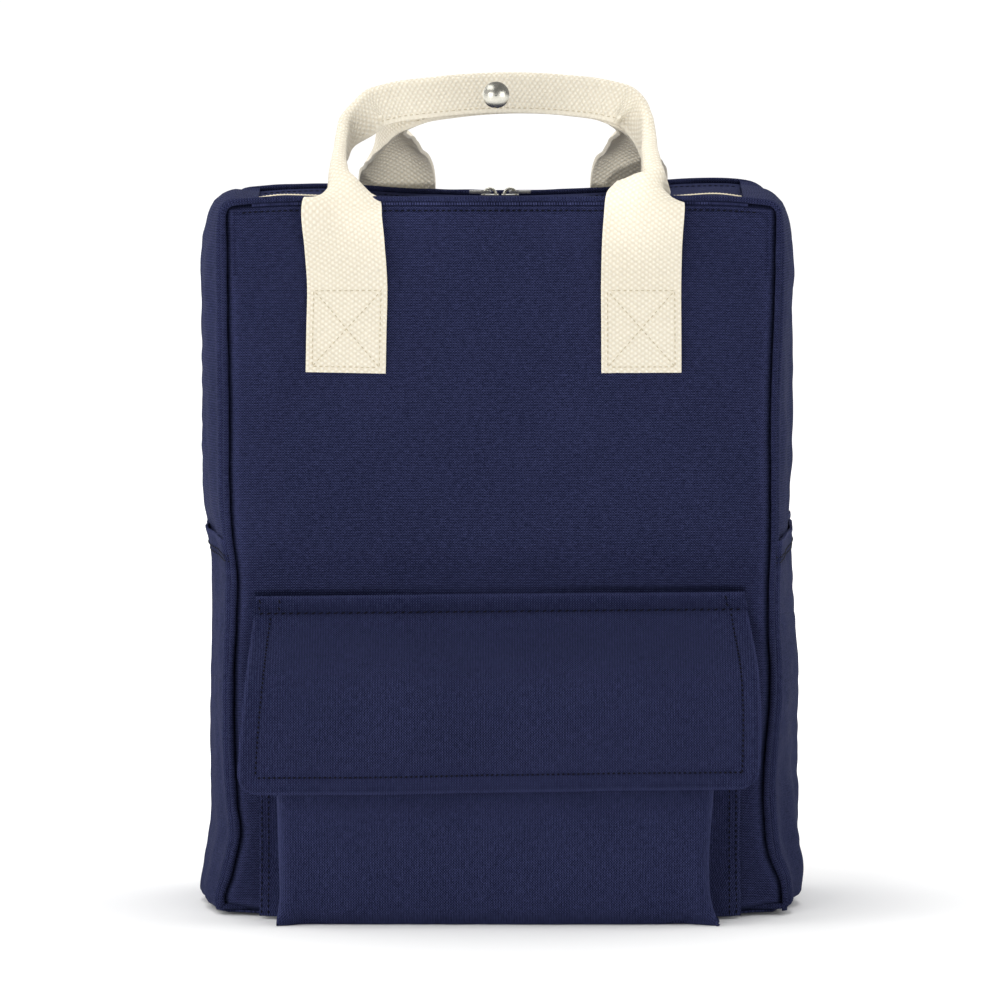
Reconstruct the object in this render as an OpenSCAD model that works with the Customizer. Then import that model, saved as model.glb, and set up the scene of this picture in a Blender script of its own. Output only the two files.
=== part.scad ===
/* [Body] */
// Width from one front seam to the other
body_w = 272; // [260:2:284]
// Depth from the front seams to the back seams
body_d = 120; // [116:2:130]
// Height of the body
body_h = 356; // [350:2:380]
// How far the front and back panels bulge at their middle
panel_bulge = 4; // [2:0.5:5]
// How far each side panel bulges at its middle
side_bulge = 7; // [5:0.5:8]
// Radius of the rounded top corners, seen from the front
top_corner_r = 20; // [16:1:24]
// Thickness of the canvas
canvas_t = 2.4; // [1.6:0.2:2.6]
// Radius of the rolled seams
welt_r = 3; // [2:0.5:3]
// Thickness of the foam in the back
back_pad_t = 11; // [8:1:14]

/* [Top zip] */
// Length of the zip
zip_len = 246; // [230:2:246]
// Width of the zip tape on each side of the teeth
tape_w = 10; // [8:1:12]

/* [Side pockets] */
// Height of the side pockets
side_pocket_h = 190; // [170:5:210]
// How far a side pocket's face stands out from the front seam
side_pocket_rise = 15; // [14:0.5:18]

/* [Front pocket] */
// Width of the pocket's face
pocket_w = 220; // [200:2:226]
// Height of the pocket
pocket_h = 120; // [112:2:122]
// Distance from the front seams to the pocket's face
pocket_d = 38; // [34:1:42]
// Width of the sewn flange beside the pocket
flange_w = 9; // [6:1:10]

/* [Flap] */
// Width of the flap at its sewn band
flap_w = 242; // [236:2:248]
// Width of the flap at its bottom edge
flap_low_w = 256; // [248:2:262]
// Height of the line that the flap folds on
flap_z = 150; // [149:1:156]
// Height of the sewn band above the fold
band_h = 8.5; // [7:0.5:10]
// Height of the flap's bottom edge
flap_low_z = 64; // [60:1:70]
// Thickness of the flap, two layers of canvas
flap_t = 3; // [2.4:0.2:3.2]

/* [Handles] */
// Width of the handle webbing
webbing_w = 40; // [36:1:42]
// Thickness of the webbing
webbing_t = 2; // [1.6:0.2:2]
// Distance between the middles of the front handle's legs
front_leg_gap = 148; // [140:2:152]
// Distance between the middles of the rear handle's legs
rear_leg_gap = 118; // [112:2:124]
// Sideways place of the rear handle
rear_handle_x = 6; // [0:1:8]
// Height of the line where the front handle leaves its sewn ends
front_handle_z = 314.4; // [312:0.4:318]
// Height of the line where the rear handle leaves its sewn ends
rear_handle_z = 342.4; // [340:0.4:344]
// Length of the folded grip
grip_len = 132; // [124:2:136]
// Height of the folded grip
grip_h = 20; // [18:1:21]
// Height of the middle of the grip
grip_z = 406.5; // [400:0.5:410]
// Rise of the grip's arch
grip_rise = 7; // [5:1:9]
// Radius of the snap's cap
cap_r = 7.4; // [7:0.2:8]
// Radius of the snap's stud
stud_r = 3; // [2.5:0.25:3]
// Radius of the snap socket's bore
socket_bore_r = 5; // [5:0.25:5.5]

/* [Shoulder straps] */
// Thickness of the padded straps
pad_t = 9; // [8:1:10]
// Width of the webbing below the pads
strap_webbing_w = 25; // [20:1:26]
// Thickness of that webbing
strap_webbing_t = 1.6; // [1.2:0.2:1.6]

/* [Hidden] */

navy = [0.16, 0.18, 0.33];
dark_navy = [0.11, 0.13, 0.25];
ecru = [0.93, 0.90, 0.82];
nickel = [0.72, 0.71, 0.68];
foam = [0.80, 0.80, 0.78];

wide_fn = 720;
round_fn = 48;
rod_fn = 24;
fit = 0.2;
half_w = body_w / 2;
half_d = body_d / 2;
panel_y = half_d + panel_bulge;
inner_y = half_d - welt_r;
side_y = inner_y - fit;
strip_half = half_w + side_bulge - top_corner_r;
lip_z = body_h - canvas_t;

function bulge_radius(chord, rise) = (chord * chord / 4 + rise * rise) / (2 * rise);

// Plan outline of the body: four shallow arcs that meet at the four upright seams
module body_outline(inset = 0) {
    long_r = bulge_radius(body_w, panel_bulge);
    side_r = bulge_radius(body_d, side_bulge);
    intersection() {
        translate([0, long_r - panel_y]) circle(r = long_r - inset, $fn = wide_fn);
        translate([0, panel_y - long_r]) circle(r = long_r - inset, $fn = wide_fn);
        translate([side_r - half_w - side_bulge, 0]) circle(r = side_r - inset, $fn = wide_fn);
        translate([half_w + side_bulge - side_r, 0]) circle(r = side_r - inset, $fn = wide_fn);
    }
}

// Front outline of the body, with rounded top corners
module body_elevation(inset = 0) {
    reach = half_w + side_bulge - inset;
    r = top_corner_r - inset;
    translate([-reach, -1]) square([2 * reach, body_h - top_corner_r + 1]);
    translate([r - reach, -1]) square([2 * (reach - r), body_h - inset + 1]);
    for (side = [-1, 1])
        translate([side * (reach - r), body_h - top_corner_r]) circle(r = r, $fn = 96);
}

module body_envelope(inset = 0) {
    intersection() {
        linear_extrude(body_h + 5) body_outline(inset);
        rotate([90, 0, 0]) linear_extrude(2 * body_d, center = true) body_elevation(inset);
    }
}

module block(x_span, y_span, z_span) {
    translate([x_span[0], y_span[0], z_span[0]])
        cube([x_span[1] - x_span[0], y_span[1] - y_span[0], z_span[1] - z_span[0]]);
}

// The part of the body's skin that lies in the given spans of x, y and z
module skin(x_span, y_span, z_span, outer = 0, inner = canvas_t) {
    intersection() {
        difference() {
            body_envelope(outer);
            body_envelope(inner);
        }
        block(x_span, y_span, z_span);
    }
}

module mirror_x() { mirror([1, 0, 0]) children(); }

module mirror_y() { mirror([0, 1, 0]) children(); }

// ---- main bag ----

module long_panel() {
    x = half_w - welt_r - fit;
    z = 2 * welt_r + 0.5;
    skin([-x, x], [-body_d, -inner_y], [z, body_h - z]);
}

module front_panel() { color(navy) long_panel(); }

module back_panel() { color(navy) mirror_y() long_panel(); }

// Foam that stiffens the back, below the reach of the folded top strip
module back_pad() {
    color(foam) block([-half_w + 18, half_w - 18], [inner_y - back_pad_t, inner_y], [12, 290]);
}

module bottom_panel() {
    color(dark_navy) intersection() {
        linear_extrude(canvas_t) body_outline();
        block([-body_w, body_w], [-side_y, side_y], [-1, body_h]);
    }
}

// One side of the bag, from the floor up and over the top corner to the end of the zip
module side_panel_right() {
    color(navy) skin([strip_half, body_w], [-side_y, side_y], [canvas_t + fit, body_h + 1]);
}

module side_panel_left() { mirror_x() side_panel_right(); }

// Rolled seam around one long panel
module seam_welt() {
    x = half_w;
    low = welt_r + 0.3;
    high = body_h - welt_r;
    translate([0, -half_d, 0]) {
        for (side = [-1, 1])
            translate([side * x, 0, low]) cylinder(r = welt_r, h = high - low, $fn = rod_fn);
        for (z = [low, high]) {
            translate([-x, 0, z]) rotate([0, 90, 0]) cylinder(r = welt_r, h = body_w, $fn = rod_fn);
            for (side = [-1, 1]) translate([side * x, 0, z]) sphere(r = welt_r, $fn = rod_fn);
        }
    }
}

module front_seam_welt() { color(dark_navy) seam_welt(); }

module back_seam_welt() { color(dark_navy) mirror_y() seam_welt(); }

// Cloth tab over one end of the zip
module zip_end_tab_right() {
    color(navy) skin([strip_half + fit, strip_half + 11], [-9, 9], [body_h - 10, body_h + 5], -1.4, -0.1);
}

module zip_end_tab_left() { mirror_x() zip_end_tab_right(); }

// Open pocket of one flat face and two narrow ends, sewn to the side of the bag
module side_pocket_right() {
    face_x = half_w + side_pocket_rise;
    color(navy) {
        block([face_x - canvas_t, face_x], [-side_y, side_y], [0, side_pocket_h]);
        for (side = [-1, 1])
            intersection() {
                difference() {
                    block([half_w - 1, face_x - canvas_t + 0.01], [-side_y, side_y], [0, side_pocket_h]);
                    body_envelope(-fit);
                }
                translate([0, side * (side_y - canvas_t / 2), 0])
                    block([0, body_w], [-canvas_t / 2, canvas_t / 2], [0, body_h]);
            }
        difference() {
            block([half_w - 1, face_x - canvas_t + 0.01], [canvas_t - side_y, side_y - canvas_t], [0, canvas_t]);
            body_envelope(-fit);
        }
    }
}

module side_pocket_left() { mirror_x() side_pocket_right(); }

// ---- front pocket ----

module pocket_front() {
    color(navy) block([-pocket_w / 2, pocket_w / 2],
        [-half_d - pocket_d, -half_d - pocket_d + canvas_t], [0, pocket_h]);
}

// Gusset of two sides and a bottom, with a flange sewn to the front panel on each side
module pocket_gusset() {
    half = pocket_w / 2;
    front_y = -half_d - pocket_d + canvas_t + 0.05;
    color(navy) difference() {
        union() {
            for (side = [-1, 1]) {
                translate([side * (half - canvas_t / 2), 0, 0])
                    block([-canvas_t / 2, canvas_t / 2], [front_y, -half_d], [0, pocket_h]);
                intersection() {
                    translate([side * (half + flange_w / 2 - 0.01), 0, 0])
                        block([-flange_w / 2, flange_w / 2], [-body_d, -half_d + 5], [0, pocket_h]);
                    linear_extrude(body_h) body_outline(-fit - canvas_t);
                }
            }
            block([-half + 0.01, half - 0.01], [front_y, -half_d], [0, canvas_t]);
        }
        linear_extrude(3 * body_h, center = true) body_outline(-fit);
        block([-body_w, body_w], [-half_d - welt_r - fit, half_d], [-1, 2 * welt_r + 0.5]);
    }
}

tape_z = [76, 98];

module loop_tape() {
    y = -half_d - pocket_d;
    color(dark_navy) block([-40, 40], [y - 1.2, y], tape_z);
}

// ---- flap: one side view, extruded across the bag and cut to its tapered, rounded front view ----

hinge_y = -panel_y - fit;
flap_out_y = -half_d - pocket_d - 6.2;
// Inner face of the flap seen from the side, from the fold down to the free edge
flap_side = [
    [hinge_y - 0.4, flap_z - 0.4], [hinge_y - 14, flap_z - 9], [hinge_y - 29, flap_z - 19],
    [flap_out_y + 1.6, flap_z - 32], [flap_out_y, flap_z - 50], [flap_out_y, flap_low_z]
];

// A path's points moved sideways by a distance, to its outer side
function unit(v) = v / norm(v);
function shifted(path, distance) = [
    for (i = [0 : len(path) - 1])
        let (
            last = len(path) - 1,
            along = unit(path[min(i + 1, last)] - path[max(i - 1, 0)])
        )
        path[i] + distance * [along[1], -along[0]]
];

module flap_section() {
    outer = shifted(flap_side, flap_t);
    polygon(concat(flap_side, [for (i = [len(outer) - 1 : -1 : 0]) outer[i]]));
}

function arc_points(centre, r, from, to, steps = 8) = [
    for (i = [0 : steps])
        let (a = from + (to - from) * i / steps)
        centre + r * [cos(a), sin(a)]
];

module pocket_flap() {
    corner = 12;
    low_half = flap_low_w / 2;
    corner_x = low_half - corner;
    corner_z = flap_low_z + corner;
    color(navy) intersection() {
        rotate([90, 0, 90]) linear_extrude(flap_low_w + 2, center = true) flap_section();
        rotate([90, 0, 0]) linear_extrude(4 * body_d, center = true)
            polygon(concat(
                [[flap_w / 2, flap_z + 10], [-flap_w / 2, flap_z + 10]],
                arc_points([-corner_x, corner_z], corner, 180, 270),
                arc_points([corner_x, corner_z], corner, 270, 360)
            ));
    }
}

module hook_tape() {
    color(dark_navy) block([-40, 40], [flap_out_y + 0.02, flap_out_y + 1.2], tape_z);
}

// Band along the flap's upper edge, sewn flat to the front panel
module flap_band() {
    color(navy) block([-flap_w / 2, flap_w / 2], [hinge_y - flap_t, hinge_y],
        [flap_z + flap_t + 0.3, flap_z + flap_t + 0.3 + band_h]);
}

// ---- top strips and zip ----

module top_strip() {
    color(navy) skin([fit * 2 - strip_half, strip_half - fit * 2],
        [-inner_y + 0.8, -tape_w / 2 - 1.4], [lip_z - 1, body_h + 1]);
}

module zip_tape() {
    color(ecru) block([-zip_len / 2, zip_len / 2], [-tape_w - 2.7, -2.65], [lip_z - 0.9, lip_z - 0.1]);
}

module zip_teeth() {
    color(ecru) block([-zip_len / 2, zip_len / 2], [-2.6, -0.4], [lip_z - 1.6, lip_z + 1.4]);
}

module top_front_strip() { top_strip(); }
module zip_tape_front() { zip_tape(); }
module zip_teeth_front() { zip_teeth(); }
module top_back_strip() { mirror_y() top_strip(); }
module zip_tape_back() { mirror_y() zip_tape(); }
module zip_teeth_back() { mirror_y() zip_teeth(); }

slider_near = 0.8;
slider_len = 8.6;
slider_w = 8;
plate_t = 1.2;
slider_top = lip_z + 1.4 + fit + plate_t;
bridge_r = 3;
bridge_wire_r = 0.7;
bridge_x = slider_near + slider_len / 2;
pin_z = slider_top + 1.2;
pin_r = 0.6;

// Slider body: two plates joined by a narrow post between the rows of teeth, and a wire bridge
module zip_slider_right() {
    low_top = lip_z - 1.6 - fit;
    color(nickel) {
        for (z = [low_top - plate_t, slider_top - plate_t])
            block([slider_near, slider_near + slider_len], [-slider_w / 2, slider_w / 2], [z, z + plate_t]);
        block([slider_near, slider_near + 3], [-0.2, 0.2], [low_top - 0.1, slider_top - plate_t + 0.1]);
        translate([bridge_x, 0, slider_top - 0.1]) rotate([90, 0, 0])
            rotate_extrude(angle = 180, $fn = round_fn)
                translate([bridge_r, 0]) circle(r = bridge_wire_r, $fn = 16);
    }
}

module zip_slider_left() { mirror_x() zip_slider_right(); }

// Pull tab: a cross pin under the bridge, two rails beside it and a flat tab beyond
module zip_pull_right() {
    tab_x = bridge_x + bridge_r + bridge_wire_r + 0.6;
    color(nickel) {
        translate([bridge_x, 0, pin_z]) rotate([90, 0, 0])
            cylinder(r = pin_r, h = 5, center = true, $fn = rod_fn);
        for (side = [-1, 1])
            translate([0, side * 1.95, 0])
                block([bridge_x, tab_x + 0.1], [-0.55, 0.55], [pin_z - pin_r, pin_z + pin_r]);
        block([tab_x, tab_x + 6], [-2.5, 2.5], [pin_z - pin_r, pin_z + pin_r]);
    }
}

module zip_pull_left() { mirror_x() zip_pull_right(); }

// ---- handles ----

grip_gap = 1.4;
grip_t = 2 * webbing_t;
leg_y = -panel_y - fit;
fold_z = body_h + 2;
pinch_z = grip_z - 15;

// Webbing of one handle: two flat legs, each drawn in and folded to meet an arched grip
module handle(leg_gap, foot_z) {
    grip_y = [-grip_gap - grip_t, -grip_gap];
    arch_r = bulge_radius(grip_len, grip_rise);
    end_x = grip_len / 2;
    color(ecru) {
        for (side = [-1, 1]) {
            x = side * leg_gap / 2;
            fold_x = side * (end_x + 4);
            translate([x, 0, 0])
                block([-webbing_w / 2, webbing_w / 2], [leg_y - webbing_t, leg_y], [foot_z, fold_z]);
            hull() {
                translate([x, 0, 0]) block([-webbing_w / 2, webbing_w / 2],
                    [leg_y - webbing_t, leg_y], [fold_z - 0.1, fold_z]);
                translate([fold_x, 0, 0]) block([-3.5, 3.5], [-26, -5], [pinch_z - 2, pinch_z]);
            }
            hull() {
                translate([fold_x, 0, 0]) block([-3.5, 3.5], [-26, -5], [pinch_z - 2.1, pinch_z]);
                translate([side * (end_x - 2), 0, 0])
                    block([-2, 2], grip_y, [grip_z - 16, grip_z + 3]);
            }
        }
        intersection() {
            translate([0, 0, grip_z - grip_h / 2 - arch_r]) rotate([90, 0, 0])
                translate([0, 0, grip_gap]) linear_extrude(grip_t) difference() {
                    circle(r = arch_r + grip_h, $fn = wide_fn);
                    circle(r = arch_r, $fn = wide_fn);
                }
            block([2 - end_x, end_x - 2], [-20, 0], [grip_z - 30, grip_z + 30]);
        }
    }
}

module front_handle_webbing() { handle(front_leg_gap, front_handle_z); }

module rear_handle_webbing() {
    translate([rear_handle_x, 0, 0]) mirror_y() handle(rear_leg_gap, rear_handle_z);
}

// Flat end of a leg, sewn to the bag with a crossed box
module sewn_end(x, top_z, length) {
    color(ecru) translate([x, 0, 0])
        block([-webbing_w / 2, webbing_w / 2], [leg_y - webbing_t, leg_y], [top_z - fit - length, top_z - fit]);
}

front_end_len = 43;
rear_end_len = 40;

module handle_end_front_left() { sewn_end(-front_leg_gap / 2, front_handle_z, front_end_len); }
module handle_end_front_right() { sewn_end(front_leg_gap / 2, front_handle_z, front_end_len); }

module handle_end_rear_left() {
    mirror_y() sewn_end(rear_handle_x - rear_leg_gap / 2, rear_handle_z, rear_end_len);
}

module handle_end_rear_right() {
    mirror_y() sewn_end(rear_handle_x + rear_leg_gap / 2, rear_handle_z, rear_end_len);
}

// ---- snap on the grips, all on one axis along Y ----

snap_x = -2;

module along_y(y) { translate([snap_x, y, grip_z]) rotate([90, 0, 0]) children(); }

// Domed cap with its flat back at the webbing
module snap_dome() {
    rotate_extrude($fn = round_fn) intersection() {
        translate([0, -cap_r * 1.6]) circle(r = cap_r * 1.6 + 2, $fn = 96);
        square([cap_r, 3]);
    }
}

module snap_cap() { color(nickel) along_y(-grip_gap - grip_t - 0.02) snap_dome(); }

module snap_back_cap() { color(nickel) mirror_y() along_y(-grip_gap - grip_t - 0.02) snap_dome(); }

module snap_socket() {
    color(nickel) along_y(0.25) difference() {
        cylinder(r = socket_bore_r + 1.5, h = 1.63, $fn = round_fn);
        translate([0, 0, -1]) cylinder(r = socket_bore_r, h = 4, $fn = round_fn);
    }
}

module snap_stud() {
    color(nickel) {
        along_y(grip_gap - 0.02) cylinder(r = socket_bore_r + 1.5, h = 0.9, $fn = round_fn);
        along_y(grip_gap - 0.5) cylinder(r = stud_r, h = 1.9, $fn = round_fn);
    }
}

// ---- shoulder straps ----

strap_top_z = 300;
yoke_y = panel_y + fit + webbing_t + fit;

// Patch that holds the rear handle's ends and the tops of the shoulder straps
module strap_yoke() {
    color(navy) block([-96, 102], [yoke_y, yoke_y + canvas_t], [strap_top_z, rear_handle_z - 0.6]);
}

// Middle line of the right strap's pad, with the pad's width at each point
pad_line = [
    [52, 70, 294, 50], [54, 86, 276, 54], [58, 106, 246, 58], [64, 117, 212, 58],
    [71, 120, 176, 56], [79, 116, 140, 50], [87, 104, 106, 40]
];
pad_end = pad_line[len(pad_line) - 1];
webbing_start = [pad_end[0] + 2, pad_end[1] - 3, pad_end[2] - 8];
webbing_foot = [116, 68, 24];
webbing_run = webbing_foot - webbing_start;
webbing_len = norm(webbing_run);
webbing_tilt = asin(webbing_run[1] / webbing_len);
webbing_lean = atan2(webbing_run[0], -webbing_run[2]);

module strap_pad_right() {
    color(navy) for (i = [0 : len(pad_line) - 2])
        hull() for (p = [pad_line[i], pad_line[i + 1]])
            translate([p[0], p[1], p[2]]) rotate([0, 90, 0])
                cylinder(r = pad_t / 2, h = p[3], center = true, $fn = rod_fn);
}

module strap_pad_left() { mirror_x() strap_pad_right(); }

// Places its children with -Z running down the right strap's webbing from its upper end
module down_webbing(distance) {
    translate(webbing_start) rotate([0, -webbing_lean, 0]) rotate([webbing_tilt, 0, 0])
        translate([0, 0, -distance]) children();
}

module strap_webbing_right() {
    color(ecru) down_webbing(webbing_len)
        block([-strap_webbing_w / 2, strap_webbing_w / 2],
            [-strap_webbing_t / 2, strap_webbing_t / 2], [0, webbing_len]);
}

module strap_webbing_left() { mirror_x() strap_webbing_right(); }

// Flat adjuster with one slot around the webbing
module tri_glide_right() {
    half = strap_webbing_w / 2;
    color(nickel) down_webbing(42) difference() {
        block([-half - 4, half + 4], [-2.2, 2.2], [-9, 9]);
        block([-half - 0.4, half + 0.4], [-strap_webbing_t / 2 - 0.35, strap_webbing_t / 2 + 0.35], [-10, 10]);
    }
}

module tri_glide_left() { mirror_x() tri_glide_right(); }

// Three-cornered patch in the lower back corner that holds the end of the webbing
module strap_tab_right() {
    color(navy) translate([0, panel_y + canvas_t, 0]) rotate([90, 0, 0]) linear_extrude(canvas_t)
        polygon([[100, 12], [132, 12], [132, 46], [124, 46]]);
}

module strap_tab_left() { mirror_x() strap_tab_right(); }

front_panel();
back_panel();
back_pad();
bottom_panel();
side_panel_left();
side_panel_right();
front_seam_welt();
back_seam_welt();
zip_end_tab_left();
zip_end_tab_right();
side_pocket_left();
side_pocket_right();
pocket_front();
pocket_gusset();
loop_tape();
flap_band();
handle_end_front_left();
handle_end_front_right();
handle_end_rear_left();
handle_end_rear_right();
strap_yoke();
strap_tab_left();
strap_tab_right();
top_front_strip();
zip_tape_front();
zip_teeth_front();
top_back_strip();
zip_tape_back();
zip_teeth_back();
zip_slider_left();
zip_slider_right();
zip_pull_left();
zip_pull_right();
pocket_flap();
hook_tape();
front_handle_webbing();
snap_cap();
snap_socket();
rear_handle_webbing();
snap_stud();
snap_back_cap();
strap_pad_left();
strap_pad_right();
strap_webbing_left();
strap_webbing_right();
tri_glide_left();
tri_glide_right();
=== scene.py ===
import math

import bpy
import numpy as np
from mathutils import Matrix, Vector


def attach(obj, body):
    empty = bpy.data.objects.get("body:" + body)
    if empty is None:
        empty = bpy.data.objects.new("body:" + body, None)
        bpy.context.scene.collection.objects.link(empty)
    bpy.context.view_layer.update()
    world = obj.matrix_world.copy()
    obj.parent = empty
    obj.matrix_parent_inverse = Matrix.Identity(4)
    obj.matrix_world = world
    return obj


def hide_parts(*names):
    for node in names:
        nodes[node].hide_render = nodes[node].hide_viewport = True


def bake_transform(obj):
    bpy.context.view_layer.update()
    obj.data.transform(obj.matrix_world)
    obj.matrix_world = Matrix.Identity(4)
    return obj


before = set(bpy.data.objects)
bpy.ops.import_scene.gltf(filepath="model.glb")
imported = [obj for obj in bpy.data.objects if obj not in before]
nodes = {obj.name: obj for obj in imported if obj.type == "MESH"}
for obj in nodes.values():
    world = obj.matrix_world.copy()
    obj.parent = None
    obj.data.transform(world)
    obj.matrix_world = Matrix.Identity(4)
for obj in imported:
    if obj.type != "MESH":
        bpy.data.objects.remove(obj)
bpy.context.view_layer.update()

mm = 0.001


# Smooth line through a few stops: cubic Hermite between stops, each slope taken from its neighbours
def through(stops, at):
    stops = np.asarray(stops, float)
    place, value = stops[:, 0], stops[:, 1:]
    slope = np.gradient(value, place, axis=0)
    at = np.clip(np.asarray(at, float), place[0], place[-1])
    k = np.clip(np.searchsorted(place, at, side="right") - 1, 0, len(place) - 2)
    h = (place[k + 1] - place[k])[..., None]
    t = (at - place[k])[..., None] / h
    out = ((2 * t**3 - 3 * t**2 + 1) * value[k] + (t**3 - 2 * t**2 + t) * h * slope[k]
           + (3 * t**2 - 2 * t**3) * value[k + 1] + (t**3 - t**2) * h * slope[k + 1])
    return out[..., 0] if value.shape[1] == 1 else out


# The same through points in space, at even steps of the line's length; extra columns go along
def pathThrough(points, count):
    points = np.asarray(points, float)
    chord = np.r_[0, np.cumsum(np.linalg.norm(np.diff(points[:, :3], axis=0), axis=1))]
    fine = through(np.c_[chord, points], np.linspace(0, chord[-1], 30 * len(points)))
    run = np.r_[0, np.cumsum(np.linalg.norm(np.diff(fine[:, :3], axis=0), axis=1))]
    want = np.linspace(0, run[-1], count)
    return np.stack([np.interp(want, run, fine[:, c]) for c in range(fine.shape[1])], 1)


# Cloth unevenness, about -1 to 1: a sum of seeded sine waves in random directions
def unevenness(a, b, size, seed, waves=14):
    rng = np.random.default_rng(seed)
    out = np.zeros(np.broadcast(a, b).shape)
    for i in range(waves):
        turn, phase = rng.uniform(0, math.pi), rng.uniform(0, 2 * math.pi)
        length = size * rng.uniform(0.55, 1.6)
        out += np.sin(2 * math.pi * (a * math.cos(turn) + b * math.sin(turn)) / length + phase)
    return out / math.sqrt(waves)


def hump(x, middle, width):
    return np.exp(-(((x - middle) / width) ** 2))


def ease(t):
    t = np.clip(t, 0, 1)
    return t * t * (3 - 2 * t)


# Steps from low to high that are closer together near both ends
def closeAtEnds(low, high, count, share=0.75):
    a = np.linspace(-1, 1, count)
    return low + (high - low) * (1 + (1 - share) * a + share * np.sin(a * math.pi / 2)) / 2


def unit(v):
    return v / np.maximum(np.linalg.norm(v, axis=-1, keepdims=True), 1e-9)


# Normals of a grid of points: cross product of its two directions, turned to face away from a point
def gridNormals(grid, awayFrom):
    n = unit(np.cross(np.gradient(grid, axis=0), np.gradient(grid, axis=1)))
    sign = np.sign(np.sum(n * (grid - np.asarray(awayFrom, float))))
    return n * (sign if sign else 1)


def stitchPlaces(xs, zs):
    return np.stack([xs, np.zeros_like(xs), zs], -1)


# Makes a piece ride on a body, and hides the solids it stands for
def setShown(obj, body, slot, *stoodFor):
    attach(obj, body)
    if stoodFor:
        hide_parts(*stoodFor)
    return obj


# For a piece given a body and two places to bend between: it only hides the solids it stands for and bakes in its
# place, and is neither attached nor bent
def setBlended(obj, body, slot, start, end, *stoodFor):
    if stoodFor:
        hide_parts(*stoodFor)
    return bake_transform(obj)


def addMesh(name, points, faces, material):
    mesh = bpy.data.meshes.new(name)
    mesh.from_pydata((points * mm).tolist(), [], faces)
    mesh.materials.append(material)
    mesh.polygons.foreach_set("use_smooth", np.full(len(mesh.polygons), True))
    mesh.update()
    obj = bpy.data.objects.new(name, mesh)
    bpy.context.scene.collection.objects.link(obj)
    return obj


# Rows and columns of a grid from the values along its two directions
def crossed(rows, cols):
    return np.meshgrid(rows, cols, indexing="ij")


# Even steps along the straight sides of a closed outline
def outline(corners, steps):
    corners = np.array([*corners, corners[0]], float)
    return np.concatenate([np.linspace(corners[i], corners[i + 1], steps) for i in range(len(corners) - 1)])


# A grid of points as one surface. Its UV map is the lengths along the surface, in metres
def gridPiece(name, grid, material, awayFrom=(0, 0, 180), wrap=False, thick=0, rim=0.0, capEnds=False,
              straight=False, wear=None):
    rows, cols = grid.shape[:2]
    full = np.concatenate([grid, grid[:, :1]], 1) if wrap else grid
    stepA = np.linalg.norm(np.diff(full, axis=1), axis=2)
    stepB = np.linalg.norm(np.diff(full, axis=0), axis=2)
    u = np.pad(np.cumsum(stepA, 1), ((0, 0), (1, 0)))
    v = np.pad(np.cumsum(stepB, 0), ((1, 0), (0, 0)))
    u -= u[:, full.shape[1] // 2][:, None]
    if wrap or straight:
        v = np.repeat(v[:, full.shape[1] // 2][:, None], full.shape[1], 1)
    else:
        v = v - v[rows // 2][None]
    i, j = crossed(np.arange(rows - 1), np.arange(full.shape[1] - 1))
    index = lambda a, b: a * cols + (b % cols)
    corners = [(i, j), (i, j + 1), (i + 1, j + 1), (i + 1, j)]
    faces = np.stack([index(a, b) for a, b in corners], -1).reshape(-1, 4)
    uv = np.stack([np.stack([u[a, b], v[a, b]], -1) for a, b in corners], -2).reshape(-1, 4, 2)
    points = grid.reshape(-1, 3)
    away = np.asarray(awayFrom, float)
    n = np.cross(points[faces[:, 2]] - points[faces[:, 0]], points[faces[:, 3]] - points[faces[:, 1]])
    middle = points[faces].mean(1)
    if wrap:
        away = np.repeat(grid.mean(1)[:-1], full.shape[1] - 1, 0)
    turned = np.sum(n * (middle - away)) < 0
    if turned:
        faces, uv = faces[:, ::-1], uv[:, ::-1]
    faces, uv = faces.tolist(), uv.reshape(-1, 2).tolist()
    if capEnds:
        first, last = list(range(cols)), list(range((rows - 1) * cols, rows * cols))
        for ring, flip in ((first, not turned), (last, turned)):
            ring = ring[::-1] if flip else ring
            faces.append(ring)
            uv += [[0, 0]] * len(ring)
    obj = addMesh(name, points, faces, material)
    mesh = obj.data
    mesh.uv_layers.new(name="UVMap").data.foreach_set("uv", (np.asarray(uv) * mm).ravel())
    # per-point painted light and shade, stored on the mesh for the canvas colour
    if wear is not None:
        paintedLayer = mesh.attributes.new("wear", "FLOAT", "POINT")
        paintedLayer.data.foreach_set("value", np.ascontiguousarray(np.broadcast_to(wear, (rows, cols)).ravel(), np.float32))
    if thick:
        solid = obj.modifiers.new("thickness", "SOLIDIFY")
        solid.thickness = thick * mm
        solid.offset = -1
        solid.use_even_offset = False
    if rim:
        edge = obj.modifiers.new("rim", "BEVEL")
        edge.width = rim * mm
        edge.segments = 2
        edge.limit_method = "ANGLE"
        edge.angle_limit = math.radians(50)
    return obj


# A round profile carried along a path of points, with closed ends
def tubePiece(name, path, radius, material, sides=10, upright=(0, 1, 0)):
    path = np.asarray(path, float)
    along = unit(np.gradient(path, axis=0))
    side = unit(np.cross(along, np.asarray(upright, float)))
    up = np.cross(side, along)
    turn = np.linspace(0, 2 * math.pi, sides, endpoint=False)
    r = np.broadcast_to(radius, len(path))[:, None, None]
    grid = path[:, None] + r * (np.cos(turn)[:, None] * side[:, None] + np.sin(turn)[:, None] * up[:, None])
    return gridPiece(name, grid, material, wrap=True, capEnds=True)


# Points and normals on a grid at fractions (0 to 1) of its two directions, by bilinear mixing
def onGrid(grid, normals, a, b, lift=0.0):
    rows, cols = grid.shape[:2]
    r, c = np.clip(a, 0, 1) * (rows - 1), np.clip(b, 0, 1) * (cols - 1)
    i, j = np.minimum(r.astype(int), rows - 2), np.minimum(c.astype(int), cols - 2)
    fr, fc = (r - i)[:, None], (c - j)[:, None]
    mix = lambda g: ((1 - fr) * (1 - fc) * g[i, j] + fr * (1 - fc) * g[i + 1, j]
                     + (1 - fr) * fc * g[i, j + 1] + fr * fc * g[i + 1, j + 1])
    n = unit(mix(normals))
    return mix(grid) + lift * n, n


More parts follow.
